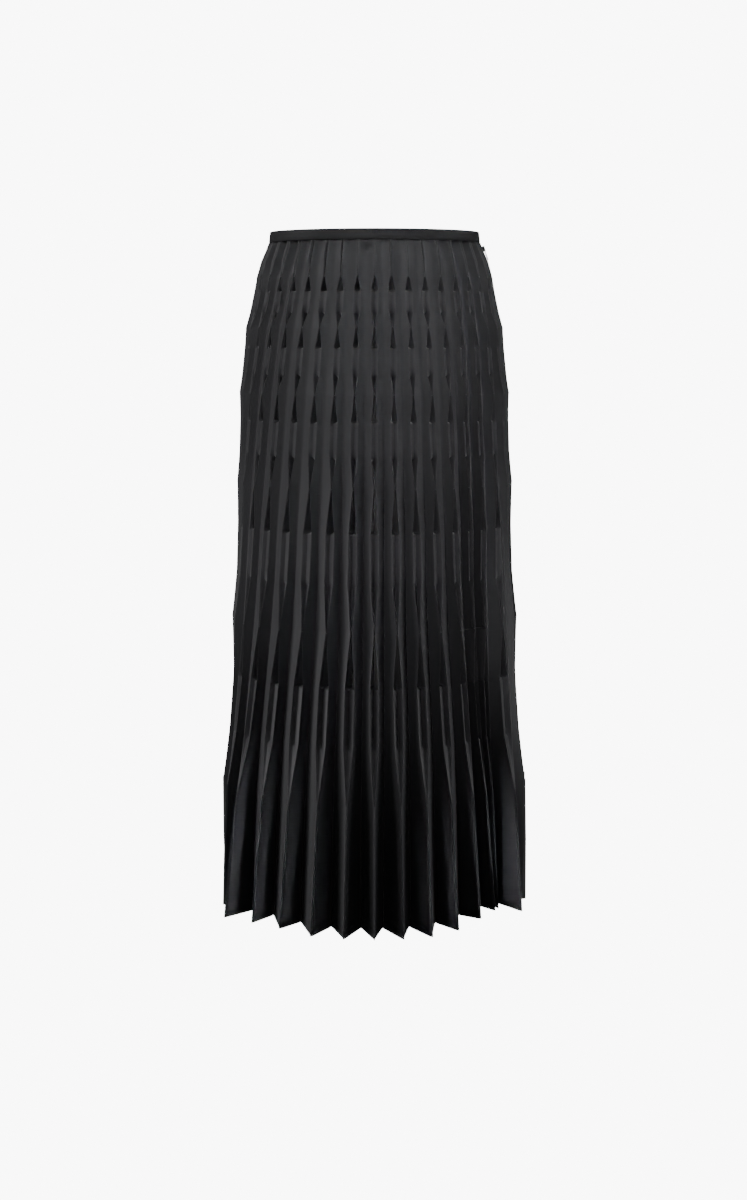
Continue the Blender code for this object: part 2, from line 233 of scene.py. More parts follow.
class Tree:
    """The node tree of one material."""

    def __init__(self, name: str) -> None:
        """Make a material of that name with its standard shader."""
        self.material = bpy.data.materials.new(name)
        self.material.use_nodes = True
        self.nodes = self.material.node_tree.nodes
        self.links = self.material.node_tree.links
        self.shader = self.nodes["Principled BSDF"]

    def node(self, kind: str, settings: dict | None = None, **inputs: object) -> bpy.types.Node:
        """Add a node.

        Args:
            kind: Blender's node type.
            settings: properties of the node by name.
            **inputs: values or wires by input name, with _ for a space.

        Returns:
            The node.
        """
        made = self.nodes.new(kind)
        for key, value in (settings or {}).items():
            setattr(made, key, value)
        for key, value in inputs.items():
            self.feed(made.inputs[key.replace("_", " ")], value)
        return made

    def feed(self, socket: bpy.types.NodeSocket, value: object) -> None:
        """Link or set one input socket.

        Args:
            socket: the input.
            value: a Wire, an output socket, or a constant.
        """
        if isinstance(value, Wire):
            self.links.new(value.socket, socket)
        elif isinstance(value, bpy.types.NodeSocket):
            self.links.new(value, socket)
        else:
            socket.default_value = value

    def maths(self, operation: str, *values: "Wire | float") -> Wire:
        """Add a Math node.

        Args:
            operation: Blender's name for it.
            *values: its inputs.

        Returns:
            Its result.
        """
        made = self.nodes.new("ShaderNodeMath")
        made.operation = operation
        for socket, value in zip(made.inputs, values):
            self.feed(socket, value)
        return Wire(self, made.outputs[0])

    def mix(
        self, share: "Wire | float", a: Sequence[float], b: Sequence[float]
    ) -> bpy.types.NodeSocket:
        """Return a colour between two colours.

        Args:
            share: 0 for the first colour and 1 for the second.
            a: first colour.
            b: second colour.

        Returns:
            The colour's output socket.
        """
        made = self.nodes.new("ShaderNodeMix")
        made.data_type = "RGBA"
        self.feed(made.inputs[0], share)
        for socket, colour in ((made.inputs[6], a), (made.inputs[7], b)):
            self.feed(socket, (*colour, 1.0))
        return made.outputs[2]

    def uv(self) -> tuple[Wire, Wire]:
        """Return the flat cloth coordinates, across and along, in metres."""
        source = self.node("ShaderNodeUVMap", {"uv_map": "cut"})
        parts = self.node("ShaderNodeSeparateXYZ", Vector=source.outputs[0])
        return Wire(self, parts.outputs[0]), Wire(self, parts.outputs[1])

    def place(self) -> bpy.types.NodeSocket:
        """Return the Object coordinates."""
        return self.node("ShaderNodeTexCoord").outputs["Object"]

    def attribute(self, name: str) -> Wire:
        """Return a number stored on the mesh."""
        source = self.node("ShaderNodeAttribute", {"attribute_name": name})
        return Wire(self, source.outputs["Fac"])

    def noise(
        self, scale: float, detail: float, vector: bpy.types.NodeSocket | None = None
    ) -> Wire:
        """Return noise between 0 and 1.

        Args:
            scale: waves a metre.
            detail: how many finer layers it has.
            vector: the coordinates, or none for the Object coordinates.

        Returns:
            The noise.
        """
        made = self.node("ShaderNodeTexNoise", Scale=scale, Detail=detail)
        self.feed(made.inputs["Vector"], vector or self.place())
        return Wire(self, made.outputs[0])

    def join(self, x: "Wire | float", y: "Wire | float") -> bpy.types.NodeSocket:
        """Return a vector from two numbers."""
        return self.node("ShaderNodeCombineXYZ", X=x, Y=y).outputs[0]

    def bump(self, height: Wire, distance: float, strength: float) -> None:
        """Raise the surface by a height, which is 0 to 1 times a distance in metres."""
        made = self.node("ShaderNodeBump", Height=height, Distance=distance, Strength=strength)
        self.links.new(made.outputs[0], self.shader.inputs["Normal"])

    def set(self, **values: object) -> None:
        """Set or link sockets of the shader, with _ for a space in their names."""
        for key, value in values.items():
            self.feed(self.shader.inputs[key.replace("_", " ")], value)


# ------------------------------------------------------------------ finishes
@dataclass(frozen=True)
class SatinFinish:
    """Matte black pleated satin.

    Attributes:
        name: the material's name.
        dark: the cloth's own colour, inside the folds and on the faces.
        light: colour on the pressed ridges, which paints a highlight there.
        roughness: of the flat faces.
        specular: strength of the mirror-like share of its light.
        thread: pitch of the weave in metres.
        run: length of a float, in threads.
        slant: how far the floats lean.
        cloud: waves a metre of the slow changes in shade.
        yarn: waves a metre of the yarn's streaks, across and along.
        crush: waves a metre of the soft dimples.
        relief: how far the weave and the dimples stand out, in metres.
        sheen: soft light at glancing angles.
        sheen_roughness: how wide those angles are.
    """

    name: str = "black_satin"
    dark: tuple[float, float, float] = (0.024, 0.024, 0.0265)
    light: tuple[float, float, float] = (0.029, 0.029, 0.0318)
    roughness: float = 0.56
    specular: float = 0.2
    thread: float = 0.45 * MM
    run: float = 2.6
    slant: float = 0.35
    cloud: float = 14.0
    yarn: tuple[float, float] = (900.0, 18.0)
    crush: float = 55.0
    relief: float = 0.12 * MM
    sheen: float = 0.06
    sheen_roughness: float = 0.45

    def make(self) -> bpy.types.Material:
        """Return the material: satin floats over a fine weave, with a painted highlight along its
        pressed ridges.

        The weave is a sine along the cloth plus a longer sine on a slant across it.  The
        shade goes from dark to light with the fold value, which paints a highlight on the
        pressed edges and ridges, and with a slow noise and a noise stretched along the yarn.
        """
        t = Tree(self.name)
        across, along = t.uv()
        fold = t.attribute("fold")
        rate = 2 * math.pi / self.thread
        row = (along * rate).sine()
        floats = ((across + along * self.slant) * (rate / self.run)).sine()
        weave = 0.5 + row * 0.22 + floats * 0.28
        cloud = t.noise(self.cloud, 3.0)
        streak = t.noise(1.0, 2.0, t.join(across * self.yarn[0], along * self.yarn[1]))
        # The fold value lightens the ridges, a painted highlight. The two noises add random tone.
        shade = (fold * 0.75 + (cloud - 0.5) * 0.25 + (streak - 0.5) * 0.22).clamp()
        t.set(
            Base_Color=t.mix(shade, self.dark, self.light),
            Roughness=(self.roughness + (cloud - 0.5) * 0.08 - fold * 0.05).clamp(),
            Sheen_Weight=self.sheen,
            Sheen_Roughness=self.sheen_roughness,
            Specular_IOR_Level=self.specular,
        )
        dimples = t.noise(self.crush, 2.0)
        t.bump(weave * 0.25 + dimples * 0.6 + streak * 0.15, self.relief, 0.35)
        return t.material


@dataclass(frozen=True)
class WovenFinish:
    """Plain woven tape or band with rows of thread.

    Attributes:
        name: the material's name.
        dark: colour of the hollows.
        light: colour of the threads.
        roughness: of the threads.
        pitch: distance between threads in metres.
        depth: how far the threads stand out in metres.
        cloud: waves a metre of the slow changes in shade.
        sheen: soft light at glancing angles.
        specular: strength of the mirror-like share of its light.
    """

    name: str
    dark: tuple[float, float, float]
    light: tuple[float, float, float]
    roughness: float
    pitch: float
    depth: float
    cloud: float = 30.0
    sheen: float = 0.04
    specular: float = 0.15

    def make(self) -> bpy.types.Material:
        """Return the material: warp and weft as two crossed sines on the flat cloth."""
        t = Tree(self.name)
        across, along = t.uv()
        rate = 2 * math.pi / self.pitch
        warp = (across * rate).sine() * 0.5 + 0.5
        weft = (along * rate).sine() * 0.5 + 0.5
        cloud = t.noise(self.cloud, 3.0)
        weave = warp * 0.5 + weft * 0.5
        t.set(
            Base_Color=t.mix((weave * 0.5 + cloud * 0.5).clamp(), self.dark, self.light),
            Roughness=(self.roughness + (cloud - 0.5) * 0.1).clamp(),
            Sheen_Weight=self.sheen,
            Specular_IOR_Level=self.specular,
        )
        t.bump(weave * 0.7 + cloud * 0.3, self.depth, 0.4)
        return t.material


@dataclass(frozen=True)
class HardFinish:
    """Enamel, nylon, thread or steel.

    Attributes:
        name: the material's name.
        colour: base colour.
        worn: colour where it is rubbed.
        roughness: mean roughness.
        metallic: how much of it is metal, from 0 to 1.
        patches: waves a metre of the rubbed patches.
        grain: waves a metre of the finest marks.
        rubbed: the patch values between which the rubbing starts and is full.
        depth: how far the marks stand out, in metres.
    """

    name: str
    colour: tuple[float, float, float]
    worn: tuple[float, float, float]
    roughness: float
    metallic: float = 0.0
    patches: float = 420.0
    grain: float = 2600.0
    rubbed: tuple[float, float] = (0.56, 0.72)
    depth: float = 0.02 * MM

    def make(self) -> bpy.types.Material:
        """Return the material: fine marks and rubbed patches over one colour."""
        t = Tree(self.name)
        patch = t.noise(self.patches, 4.0)
        grain = t.noise(self.grain, 2.0)
        rubbed = patch.step(*self.rubbed)
        t.set(
            Base_Color=t.mix(rubbed * 0.6, self.colour, self.worn),
            Roughness=(self.roughness + (grain - 0.5) * 0.16 - rubbed * 0.08).clamp(),
            Metallic=self.metallic,
        )
        t.bump(grain * 0.5 + patch * 0.5, self.depth, 0.5)
        return t.material


# ------------------------------------------------------------------ form of the skirt
@dataclass(frozen=True)
class Level:
    """One ring of the skirt, in centimetres.

    Attributes:
        name: what happens to the ridges there.
        drop: below the top edge of the waistband.
        half_width: middle to the ridges at the side.
        half_depth: middle to the ridges in front.
        seat: how much fuller the back is.
        face: ridge to valley on the cloth.
        sunk: share of each face that is folded inward.
        fan: how much wider than the mean the front pleats stand.
        lean: how much wider the wearer's right stands.
        gather: how far the pleats before the left side close up.
        square: how far the folds turn to point straight back.
        dent: how much of DENT_SHIFTS and TUCK_SHIFTS the plan is pushed by.
    """

    name: str
    drop: float
    half_width: float
    half_depth: float
    seat: float
    face: float
    sunk: float
    fan: float
    lean: float
    gather: float
    square: float
    dent: float


# Columns: name, drop, half_width, half_depth, seat, face, sunk, fan, lean, gather, square, dent.
LEVELS: tuple[Level, ...] = (
    Level("seam", 1.33, 13.08, 9.50, 0.05, 0.98, 0.00, 0.00, 0.00, 0.0, 0.00, 0.00),
    Level("yoke_a", 2.4, 13.52, 9.72, 0.15, 1.02, 0.00, 0.00, 0.00, 0.0, 0.00, 0.00),
    Level("yoke_b", 3.6, 14.08, 9.95, 0.25, 1.07, 0.00, -0.01, 0.00, 0.0, 0.00, 0.00),
    Level("node_0", 5.6, 14.67, 10.25, 0.45, 1.12, 0.00, -0.03, 0.00, 0.0, 0.10, 0.00),
    Level("base_1", 7.3, 15.12, 10.55, 0.60, 1.17, 0.35, -0.04, 0.00, 0.0, 0.15, 0.00),
    Level("low_1", 9.7, 15.65, 10.90, 0.80, 1.22, 0.34, -0.05, 0.02, 0.0, 0.20, 0.00),
    Level("node_1", 11.6, 16.04, 11.25, 0.95, 1.26, 0.00, -0.05, 0.04, 0.0, 0.25, 0.00),
    Level("base_2", 14.0, 16.35, 11.60, 1.10, 1.31, 0.28, -0.05, 0.05, 0.0, 0.30, 0.00),
    Level("low_2", 17.1, 16.70, 11.95, 1.30, 1.37, 0.27, -0.05, 0.07, 0.1, 0.35, 0.00),
    Level("node_2", 19.5, 16.90, 12.25, 1.40, 1.42, 0.00, -0.04, 0.08, 0.1, 0.40, 0.00),
    Level("base_3", 22.8, 17.08, 12.50, 1.50, 1.47, 0.28, -0.04, 0.10, 0.2, 0.45, 0.00),
    Level("low_3", 26.8, 17.25, 12.75, 1.55, 1.52, 0.27, -0.03, 0.12, 0.2, 0.50, 0.00),
    Level("node_3", 30.6, 17.42, 13.00, 1.55, 1.60, 0.00, -0.02, 0.14, 0.3, 0.55, 0.00),
    Level("base_4", 36.0, 17.68, 13.35, 1.50, 1.72, 0.31, 0.00, 0.16, 0.4, 0.60, 0.00),
    Level("low_4", 41.9, 17.95, 13.70, 1.45, 1.87, 0.30, 0.01, 0.18, 0.6, 0.65, 0.00),
    Level("node_4", 47.8, 18.23, 14.10, 1.40, 2.05, 0.00, 0.03, 0.20, 0.7, 0.70, 0.00),
    Level("base_5", 54.7, 18.70, 14.60, 1.35, 2.34, 0.31, 0.06, 0.23, 0.9, 0.73, 0.10),
    Level("low_5", 61.8, 19.20, 15.10, 1.30, 2.66, 0.29, 0.09, 0.26, 1.0, 0.75, 0.25),
    Level("node_5", 68.8, 19.65, 15.55, 1.25, 3.16, 0.00, 0.12, 0.30, 1.0, 0.75, 0.45),
    Level("fall", 77.0, 19.78, 16.00, 1.20, 4.02, 0.00, 0.17, 0.34, 0.9, 0.75, 0.75),
    Level("hem", 85.3, 19.85, 16.40, 1.20, 4.70, 0.00, 0.22, 0.38, 0.7, 0.75, 1.00),
)

DROPS = np.array([level.drop for level in LEVELS]) * CM
DROP_OF = {level.name: level.drop * CM for level in LEVELS}

# How the pleats before the wearer's left side close up: by how many places they move
# towards centre front.
GATHER_PLACES = (4.0, 4.5, 5.0, 5.5, 6.0, 6.5, 7.0, 7.5, 8.0)
GATHER_SHIFTS = (0.0, 0.12, 0.38, 0.60, 0.85, 1.00, 0.55, 0.18, 0.0)

# How far the hem's plan is pushed back (dent) and to the wearer's left (tuck), in cm.
DENT_PLACES = (-8.0, -6.0, -5.0, -4.0, -3.0, -2.0, 2.0, 3.0, 4.0, 5.0, 6.0, 6.5, 7.0, 8.0, 9.0)
DENT_SHIFTS = (0.0, -1.2, -1.8, 0.0, 0.8, 0.0, 0.0, 0.9, 3.2, 4.4, 3.3, 1.6, -1.2, -0.6, 0.0)
TUCK_PLACES = (-5.5, -5.0, -4.5, 5.5, 6.0, 6.5)
TUCK_SHIFTS = (0.0, -0.9, 0.0, 0.0, -1.1, 0.0)

# How much of a level's square the folds at the wearer's right take, and how far the folds
# between centre front and the left side turn to the wearer's right.
SQUARE_PLACES = (-12.0, -10.0, -8.5, -6.5)
SQUARE_SHARES = (1.0, 0.4, 0.4, 1.0)
SKEW_PLACES = (0.0, 0.5, 7.0, 9.0)
SKEW_SHARES = (0.0, 0.2, 0.2, 0.0)


@dataclass(frozen=True)
class SkirtForm:
    """The rings of fold lines that the cloth follows.

    Attributes:
        pleats: ridges in one panel.
        blunt: share of a plain ridge that carries the spare fold lines.
        shallow: least depth of a pleat, as a share of its face.
        oval_steps: points on each ring's oval.
        seam_gap: space between the two panels in metres.
    """

    pleats: int = 19
    blunt: float = 0.04
    shallow: float = 0.25
    oval_steps: int = 720
    seam_gap: float = 0.3 * MM

    def warp(self, level: Level, place: np.ndarray) -> np.ndarray:
        """Return where the fold lines stand after fanning, leaning and gathering.

        A place moves by fan times the sine of its angle, minus lean times the square of
        that sine on the wearer's right, minus the gather's own shift.

        Args:
            level: the ring.
            place: where the fold lines would stand if they were even.

        Returns:
            The places that they move to.
        """
        turn = math.pi * place / self.pleats
        scale = self.pleats / math.pi
        moved = place + level.fan * scale * np.sin(turn)
        moved -= level.lean * scale * np.minimum(np.sin(turn), 0.0) ** 2
        return moved - level.gather * np.interp(place, GATHER_PLACES, GATHER_SHIFTS)

    def on_oval(self, level: Level, place: np.ndarray) -> tuple[np.ndarray, np.ndarray]:
        """Return points on a ring's oval and the directions inward.

        The oval is (width sin t, -depth cos t); a place is a distance along it, counted
        so that each quarter holds half a panel's pleats.  The directions start as the
        oval's own, and square shrinks their sideways part and turns them by the skew.

        Args:
            level: the ring.
            place: places before the warp.

        Returns:
            X and Y of the points in metres, and of the unit directions.
        """
        width = level.half_width * CM
        front, back = level.half_depth * CM, (level.half_depth + level.seat) * CM
        turn = np.linspace(0.0, 2 * math.pi, self.oval_steps + 1)
        deep = np.where(np.cos(turn) > 0, front, back)
        ring = np.column_stack((width * np.sin(turn), -deep * np.cos(turn)))
        along = np.concatenate(([0.0], np.cumsum(np.hypot(*np.diff(ring, axis=0).T))))
        marks = along[:: self.oval_steps // 4]
        moved = np.mod(self.warp(level, np.asarray(place, float)), 2 * self.pleats)
        distance = np.interp(moved, self.pleats / 2 * np.arange(5), marks)
        xy = np.column_stack([np.interp(distance, along, ring[:, k]) for k in (0, 1)])
        deep_here = np.where(xy[:, 1] < 0, front, back)
        inward = -xy / np.column_stack((np.full(len(xy), width**2), deep_here**2))
        inward /= np.linalg.norm(inward, axis=1)[:, None]
        side = np.mod(place + self.pleats, 2 * self.pleats) - self.pleats
        inward[:, 0] *= 1 - level.square * np.interp(side, SQUARE_PLACES, SQUARE_SHARES)
        inward[:, 0] -= level.square * np.interp(place, SKEW_PLACES, SKEW_SHARES)
        xy[:, 1] += level.dent * CM * np.interp(place, DENT_PLACES, DENT_SHIFTS)
        xy[:, 0] += level.dent * CM * np.interp(place, TUCK_PLACES, TUCK_SHIFTS)
        return xy, inward / np.linalg.norm(inward, axis=1)[:, None]

    def fold_lines(self, level: Level, first: float) -> np.ndarray:
        """Return a panel's fold points at one ring: valley, edge, middle, edge, and so on.

        A valley lies inside the oval by the root of face squared less span squared.  A
        sunk ridge is the plain one turned about the middle of its two edges.

        Args:
            level: the ring.
            first: place of the panel's first valley.

        Returns:
            X and Y of the points in metres.
        """
        ridges, _ = self.on_oval(level, first + 0.5 + np.arange(self.pleats))
        valley_at = first + np.arange(self.pleats + 1)
        feet, inward = self.on_oval(level, valley_at)
        before = self.on_oval(level, valley_at - 0.5)[0]
        after = self.on_oval(level, valley_at + 0.5)[0]
        span = np.linalg.norm(feet - before, axis=1) + np.linalg.norm(after - feet, axis=1)
        face = level.face * CM
        least = (self.shallow * face) ** 2
        depth = np.sqrt(np.maximum(face**2 - (span / 2) ** 2, least))
        valleys = feet + depth[:, None] * inward
        share = level.sunk or self.blunt
        edge_a = ridges + share * (valleys[:-1] - ridges)
        edge_b = ridges + share * (valleys[1:] - ridges)
        middle = edge_a + edge_b - ridges if level.sunk else ridges
        rows = np.stack((valleys[:-1], edge_a, middle, edge_b), axis=1).reshape(-1, 2)
        points = np.vstack((rows, valleys[-1:]))
        along = np.column_stack((inward[:, 1], -inward[:, 0]))
        points[0] += along[0] * self.seam_gap / 2
        points[-1] -= along[-1] * self.seam_gap / 2
        return points

    def rings(self, panel: Panel) -> np.ndarray:
        """Return a panel's fold points at all levels, one row of points a level."""
        return np.stack([self.fold_lines(level, panel.value) for level in LEVELS])


# ------------------------------------------------------------------ pleated panels
@dataclass(frozen=True)
class Ramp:
    """A value that runs straight between stops and stays level beyond them.

    Attributes:
        stops: drops in metres.
        values: the value at each stop.
    """

    stops: tuple[float, ...]
    values: tuple[float, ...]

    def at(self, drop: np.ndarray) -> np.ndarray:
        """Return the value at each drop."""
        return np.interp(drop, self.stops, self.values)


@dataclass(frozen=True)
class Pocket:
    """The dark fold under one row of pinched points.

    Attributes:
        above: the ring of the pinched points that it hangs from.
        base: the ring where its floor comes out.
        low: the ring where the floor starts to sink again.
        below: the ring of the next pinched points.
        deep: how much farther in the fold lies under the point, in millimetres.
        lip: how much of that is left just above the base.
        ledge: height of the step at the base.
        trench: how much farther in the fold lies above the next points.
        flare: how far the floor lifts where it starts to sink.
    """

    above: str
    base: str
    low: str
    below: str
    deep: float
    lip: float
    ledge: float
    trench: float
    flare: float

    def drops(self) -> tuple[float, float, float, float]:
        """Return the drops of its four rings in metres."""
        return tuple(DROP_OF[name] for name in (self.above, self.base, self.low, self.below))


POCKETS: tuple[Pocket, ...] = (
    Pocket("node_0", "base_1", "low_1", "node_1", 10.0, 8.0, 0.9, 8.0, 0.0),
    Pocket("node_1", "base_2", "low_2", "node_2", 10.0, 7.0, 2.0, 8.0, 0.0),
    Pocket("node_2", "base_3", "low_3", "node_3", 11.0, 7.0, 2.0, 8.0, 0.0),
    Pocket("node_3", "base_4", "low_4", "node_4", 12.5, 8.0, 1.8, 5.0, 1.4),
    Pocket("node_4", "base_5", "low_5", "node_5", 14.0, 10.0, 1.4, 1.0, 3.2),
)

# How far from a pinched point a pocket has half its depth and all of it, how far below
# its lowest plain ring the floor has sunk, and the rows that shape the step at its base.
HALF_FALL = 1.2 * MM
FALL = 3.5 * MM
SINK = 4.0 * MM
LIP_ROW = 2.5 * MM
BASE_ROW = 1.5 * MM

# How the cloth crowds under the band, for the front's ridges from the wearer's right seam
# to the left one, and for the back's from the left one to the right: how deep the closed
# fold above each first point is, in millimetres, and how wide, as a share of a face.
SLOT_DEPTHS = (
    3.0, 6.0, 8.0, 8.5, 7.5, 6.0, 5.0, 3.0, 1.0, 0.8, 1.6, 0.9, 3.0, 2.6, 3.8, 5.6, 6.5, 5.0, 3.0,
)
SLOT_WIDTHS = (
    0.06, 0.12, 0.24, 0.26, 0.22, 0.16, 0.12, 0.05, 0.01, 0.0,
    0.02, 0.0, 0.06, 0.04, 0.10, 0.16, 0.20, 0.12, 0.05,
)

# How much deeper each valley is under the band, in millimetres, in the same order.
VALLEY_DEPTHS = (
    0.0, 4.0, 6.5, 7.5, 7.0, 5.0, 3.6, 1.6, 0.4, 0.0,
    0.6, 0.2, 1.8, 0.8, 3.4, 4.4, 6.5, 5.0, 3.5, 0.0,
)

# How the filling of the valleys turns into a deepening towards the side seams, by the
# number of ridges from the middle of the panel.
SIDE_VALLEYS = (4.0, 5.5, 7.5, 8.5)
SIDE_LIFTS = (1.0, -0.6, -1.8, -0.3)

# Down the skirt: how much of the crowding's width, of its folds' depth, of the valleys'
# filling and of the faces' bend there is, and how soft the edges are, in metres.
CROWDING = Ramp((0.0133, 0.022, 0.042, 0.056), (0.5, 1.0, 0.65, 0.0))
SLOTS = Ramp((0.0133, 0.02, 0.048, 0.056), (0.6, 1.0, 0.8, 0.0))
FILLING = Ramp((0.013, 0.03, 0.22, 0.42), (0.3, 1.0, 1.0, 0.0))
BENDING = Ramp((0.62, 0.80, 0.853), (0.0, 0.65, 1.0))
SOFTNESS = Ramp((0.0, 0.045, 0.07), (2.6 * MM, 1.6 * MM, 0.0))
CROWDED_ROWS = (0.0165, 0.02, 0.0275, 0.032)

# The points of one pleat, from valley to valley: which ones round its two edges and its
# middle, which ones are pushed in with a pocket and by how much, and how far out each
# point of a face lies between valley (0) and ridge (1).
COLUMNS = 20
# The edge and middle columns carry the fold values, where the satin paints its highlight.
EDGE_COLUMNS = (slice(6, 9), slice(12, 15))
MIDDLE_COLUMNS = slice(9, 12)
POCKET_COLUMNS = slice(8, 13)
POCKET_SHAPE = (0.55, 0.9, 1.0, 0.9, 0.55)
FACE_SHARES = (0.0, 0.08, 0.2, 0.28, 0.84, 0.9, 0.97, 1.0, 1.0, 1.0)

# The largest share of a face that a rounded valley and a rounded edge may take, and the
# share beside them where the plain face starts.
WIDEST_HOLLOW = 0.42
WIDEST_EDGE = 0.36
MARGIN = 0.06


def bend(a: np.ndarray, fold: np.ndarray, b: np.ndarray, s: float) -> np.ndarray:
    """Return a point of the parabola that rounds a fold: (1-s)^2 A + 2s(1-s) C + s^2 B.

    Args:
        a: points before the fold, where the rounding starts.
        fold: points of the fold, C.
        b: points after it, where the rounding stops.
        s: how far along the parabola the point lies, from 0 to 1.

    Returns:
        The points.
    """
    return (1 - s) ** 2 * a + 2 * s * (1 - s) * fold + s**2 * b


@dataclass
class PleatedPanel:
    """One panel of pleated cloth.

    Attributes:
        name: the piece's name.
        node: the CAD node it stands for.
        panel: which panel it is.
        form: the rings of fold lines.
        wall: thickness of the cloth in metres.
        row_step: largest distance between rows in metres.
        crease: reach of a pressed edge's rounding in metres.
        hollow: reach of a valley's rounding, from the hip to the knee.
        lift: how far the valleys under the waist are filled out, in metres.
        fin: how far the middle of a face at the hem bends towards centre front.
        fade: how soon that bend sets in beside centre front.
        flare: how much wider the diamonds open than the solids', as a share of a face.
        tucked: drops of the rows that are caught behind the band.
        tuck_oval: half width and half depth of the oval they are pressed to.
        tuck_foot: the lowest drop at which the ridges are on that oval.
        tuck_ramp: how nearly the valleys are on it.
        zip_foot: the drop down to which the pockets keep off the zip.
        dent_place: X and drop of the small dent in front.
        dent_reach: how wide and high it is.
        dent_depth: how far it is pushed in.
        hem_width: width of the cloth at the hem, laid flat; not used.
    """

    name: str
    node: str
    panel: Panel
    form: SkirtForm = field(default_factory=SkirtForm)
    wall: float = 0.55 * MM
    row_step: float = 12.0 * MM
    crease: float = 0.6 * MM
    hollow: Ramp = Ramp((0.14, 0.42), (3.2 * MM, 0.7 * MM))
    lift: float = 2.2 * MM
    fin: float = 3.0 * MM
    fade: float = 6.0
    flare: float = 0.07
    tucked: tuple[float, ...] = (9.0 * MM, 10.2 * MM, 11.5 * MM, 13.0 * MM)
    tuck_oval: tuple[float, float] = (12.76 * CM, 9.21 * CM)
    tuck_foot: float = 13.05 * MM
    tuck_ramp: Ramp = Ramp((9.6 * MM, 13.3 * MM), (1.0, 0.0))
    zip_foot: float = 0.21
    dent_place: tuple[float, float] = (-8.6 * MM, 24.0 * MM)
    dent_reach: tuple[float, float] = (5.0 * MM, 3.8 * MM)
    dent_depth: float = 5.0 * MM
    hem_width: float = 1.786

    def row_drops(self) -> np.ndarray:
        """Return the drops of the rows: every ring, each pocket's steps and even rows."""
        marks = [*DROPS, *self.tucked, *CROWDED_ROWS]
        for k in POCKETS:
            top, base, low, end = k.drops()
            step = base - k.ledge * MM
            marks += [top + HALF_FALL, top + FALL, step - LIP_ROW, step]
            marks += [base + BASE_ROW, low + SINK, end - FALL, end - HALF_FALL]
        marks = np.unique(np.round(marks, 6))
        parts = []
        for a, b in zip(marks[:-1], marks[1:]):
            steps = max(1, math.ceil((b - a) / self.row_step))
            parts.append(np.linspace(a, b, steps, endpoint=False))
        return np.concatenate((*parts, marks[-1:]))

    def pocket_depth(self, drop: np.ndarray) -> tuple[np.ndarray, np.ndarray]:
        """Return how far in the pockets lie at every row, in metres.

        Under a pinched point the fold falls to its full depth in a few millimetres, eases
        to the lip, and steps out at the base.  Above the next point it falls again.

        Args:
            drop: the rows' drops.

        Returns:
            The shift of the whole floor between its two edges, and of its middle alone.
        """
        floor, middle = np.zeros_like(drop), np.zeros_like(drop)
        for k in POCKETS:
            top, base, low, end = k.drops()
            step = base - k.ledge * MM
            inside = (drop > top) & (drop < end)
            stops = [top, top + HALF_FALL, top + FALL, 0.5 * (top + base), step, base]
            depths = [0.0, 0.5 * k.deep, k.deep, k.deep, k.lip, 0.0]
            stops += [low, low + SINK, end - FALL, end - HALF_FALL, end]
            depths += [0.0, 0.8 * k.trench, k.trench, 0.6 * k.trench, 0.0]
            floor = np.where(inside, np.interp(drop, stops, depths) * MM, floor)
            stops = [top, top + FALL, step, base, low, low + SINK, end]
            depths = [0.0, 0.5 * k.deep, 0.5 * k.lip, 0.0, 0.0, -k.flare, 0.0]
            middle = np.where(inside, np.interp(drop, stops, depths) * MM, middle)
        return floor, middle

    def off_zip(self, drop: np.ndarray) -> np.ndarray:
        """Return a share for each row and ridge that keeps the pockets off the zip tapes."""
        share = np.ones(self.form.pleats)
        share[-1 if self.panel is Panel.FRONT else 0] = 0.0
        return np.where(drop[:, None] < self.zip_foot, share[None, :], 1.0)

    def fold_points(self, drop: np.ndarray) -> tuple[np.ndarray, np.ndarray]:
        """Return the fold points of every row, which run straight between the rings.

        The two edges E of a pleat with middle M and valleys V move by w (V - M), w being
        the diamonds' flare plus the crowding.  The middle moves in with its pocket, and a
        valley moves out by the filling less the crowding's depth.

        Args:
            drop: the rows' drops.

        Returns:
            The points in metres, and the directions inward at the middles.
        """
        rings = self.form.rings(self.panel)
        corners = np.stack(
            [
                [np.interp(drop, DROPS, rings[:, k, axis]) for k in range(rings.shape[1])]
                for axis in (0, 1)
            ],
            axis=-1,
        ).transpose(1, 0, 2)
        crowd = CROWDING.at(drop)
        spread = [self.flare if level.sunk else 0.0 for level in LEVELS]
        wider = crowd[:, None] * np.array(SLOT_WIDTHS)[None, :]
        wider = (wider + np.interp(drop, DROPS, spread)[:, None])[:, :, None]
        corners[:, 1::4] += wider * (corners[:, 0:-1:4] - corners[:, 2::4])
        corners[:, 3::4] += wider * (corners[:, 4::4] - corners[:, 2::4])
        middle = corners[:, 2::4]
        inward = -middle / np.linalg.norm(middle, axis=2)[..., None]
        sunk = self.pocket_depth(drop)[1][:, None] * self.off_zip(drop)
        corners[:, 2::4] += sunk[..., None] * inward
        valleys = corners[:, 4:-1:4]
        out = valleys / np.linalg.norm(valleys, axis=2)[..., None]
        aside = np.abs(np.arange(1, self.form.pleats) - self.form.pleats / 2)
        lift = (self.lift * FILLING.at(drop))[:, None]
        lift = lift * np.interp(aside, SIDE_VALLEYS, SIDE_LIFTS)[None, :]
        sink = crowd[:, None] * np.array(VALLEY_DEPTHS)[None, 1:-1] * MM
        corners[:, 4:-1:4] += (lift - sink)[..., None] * out
        return corners, inward

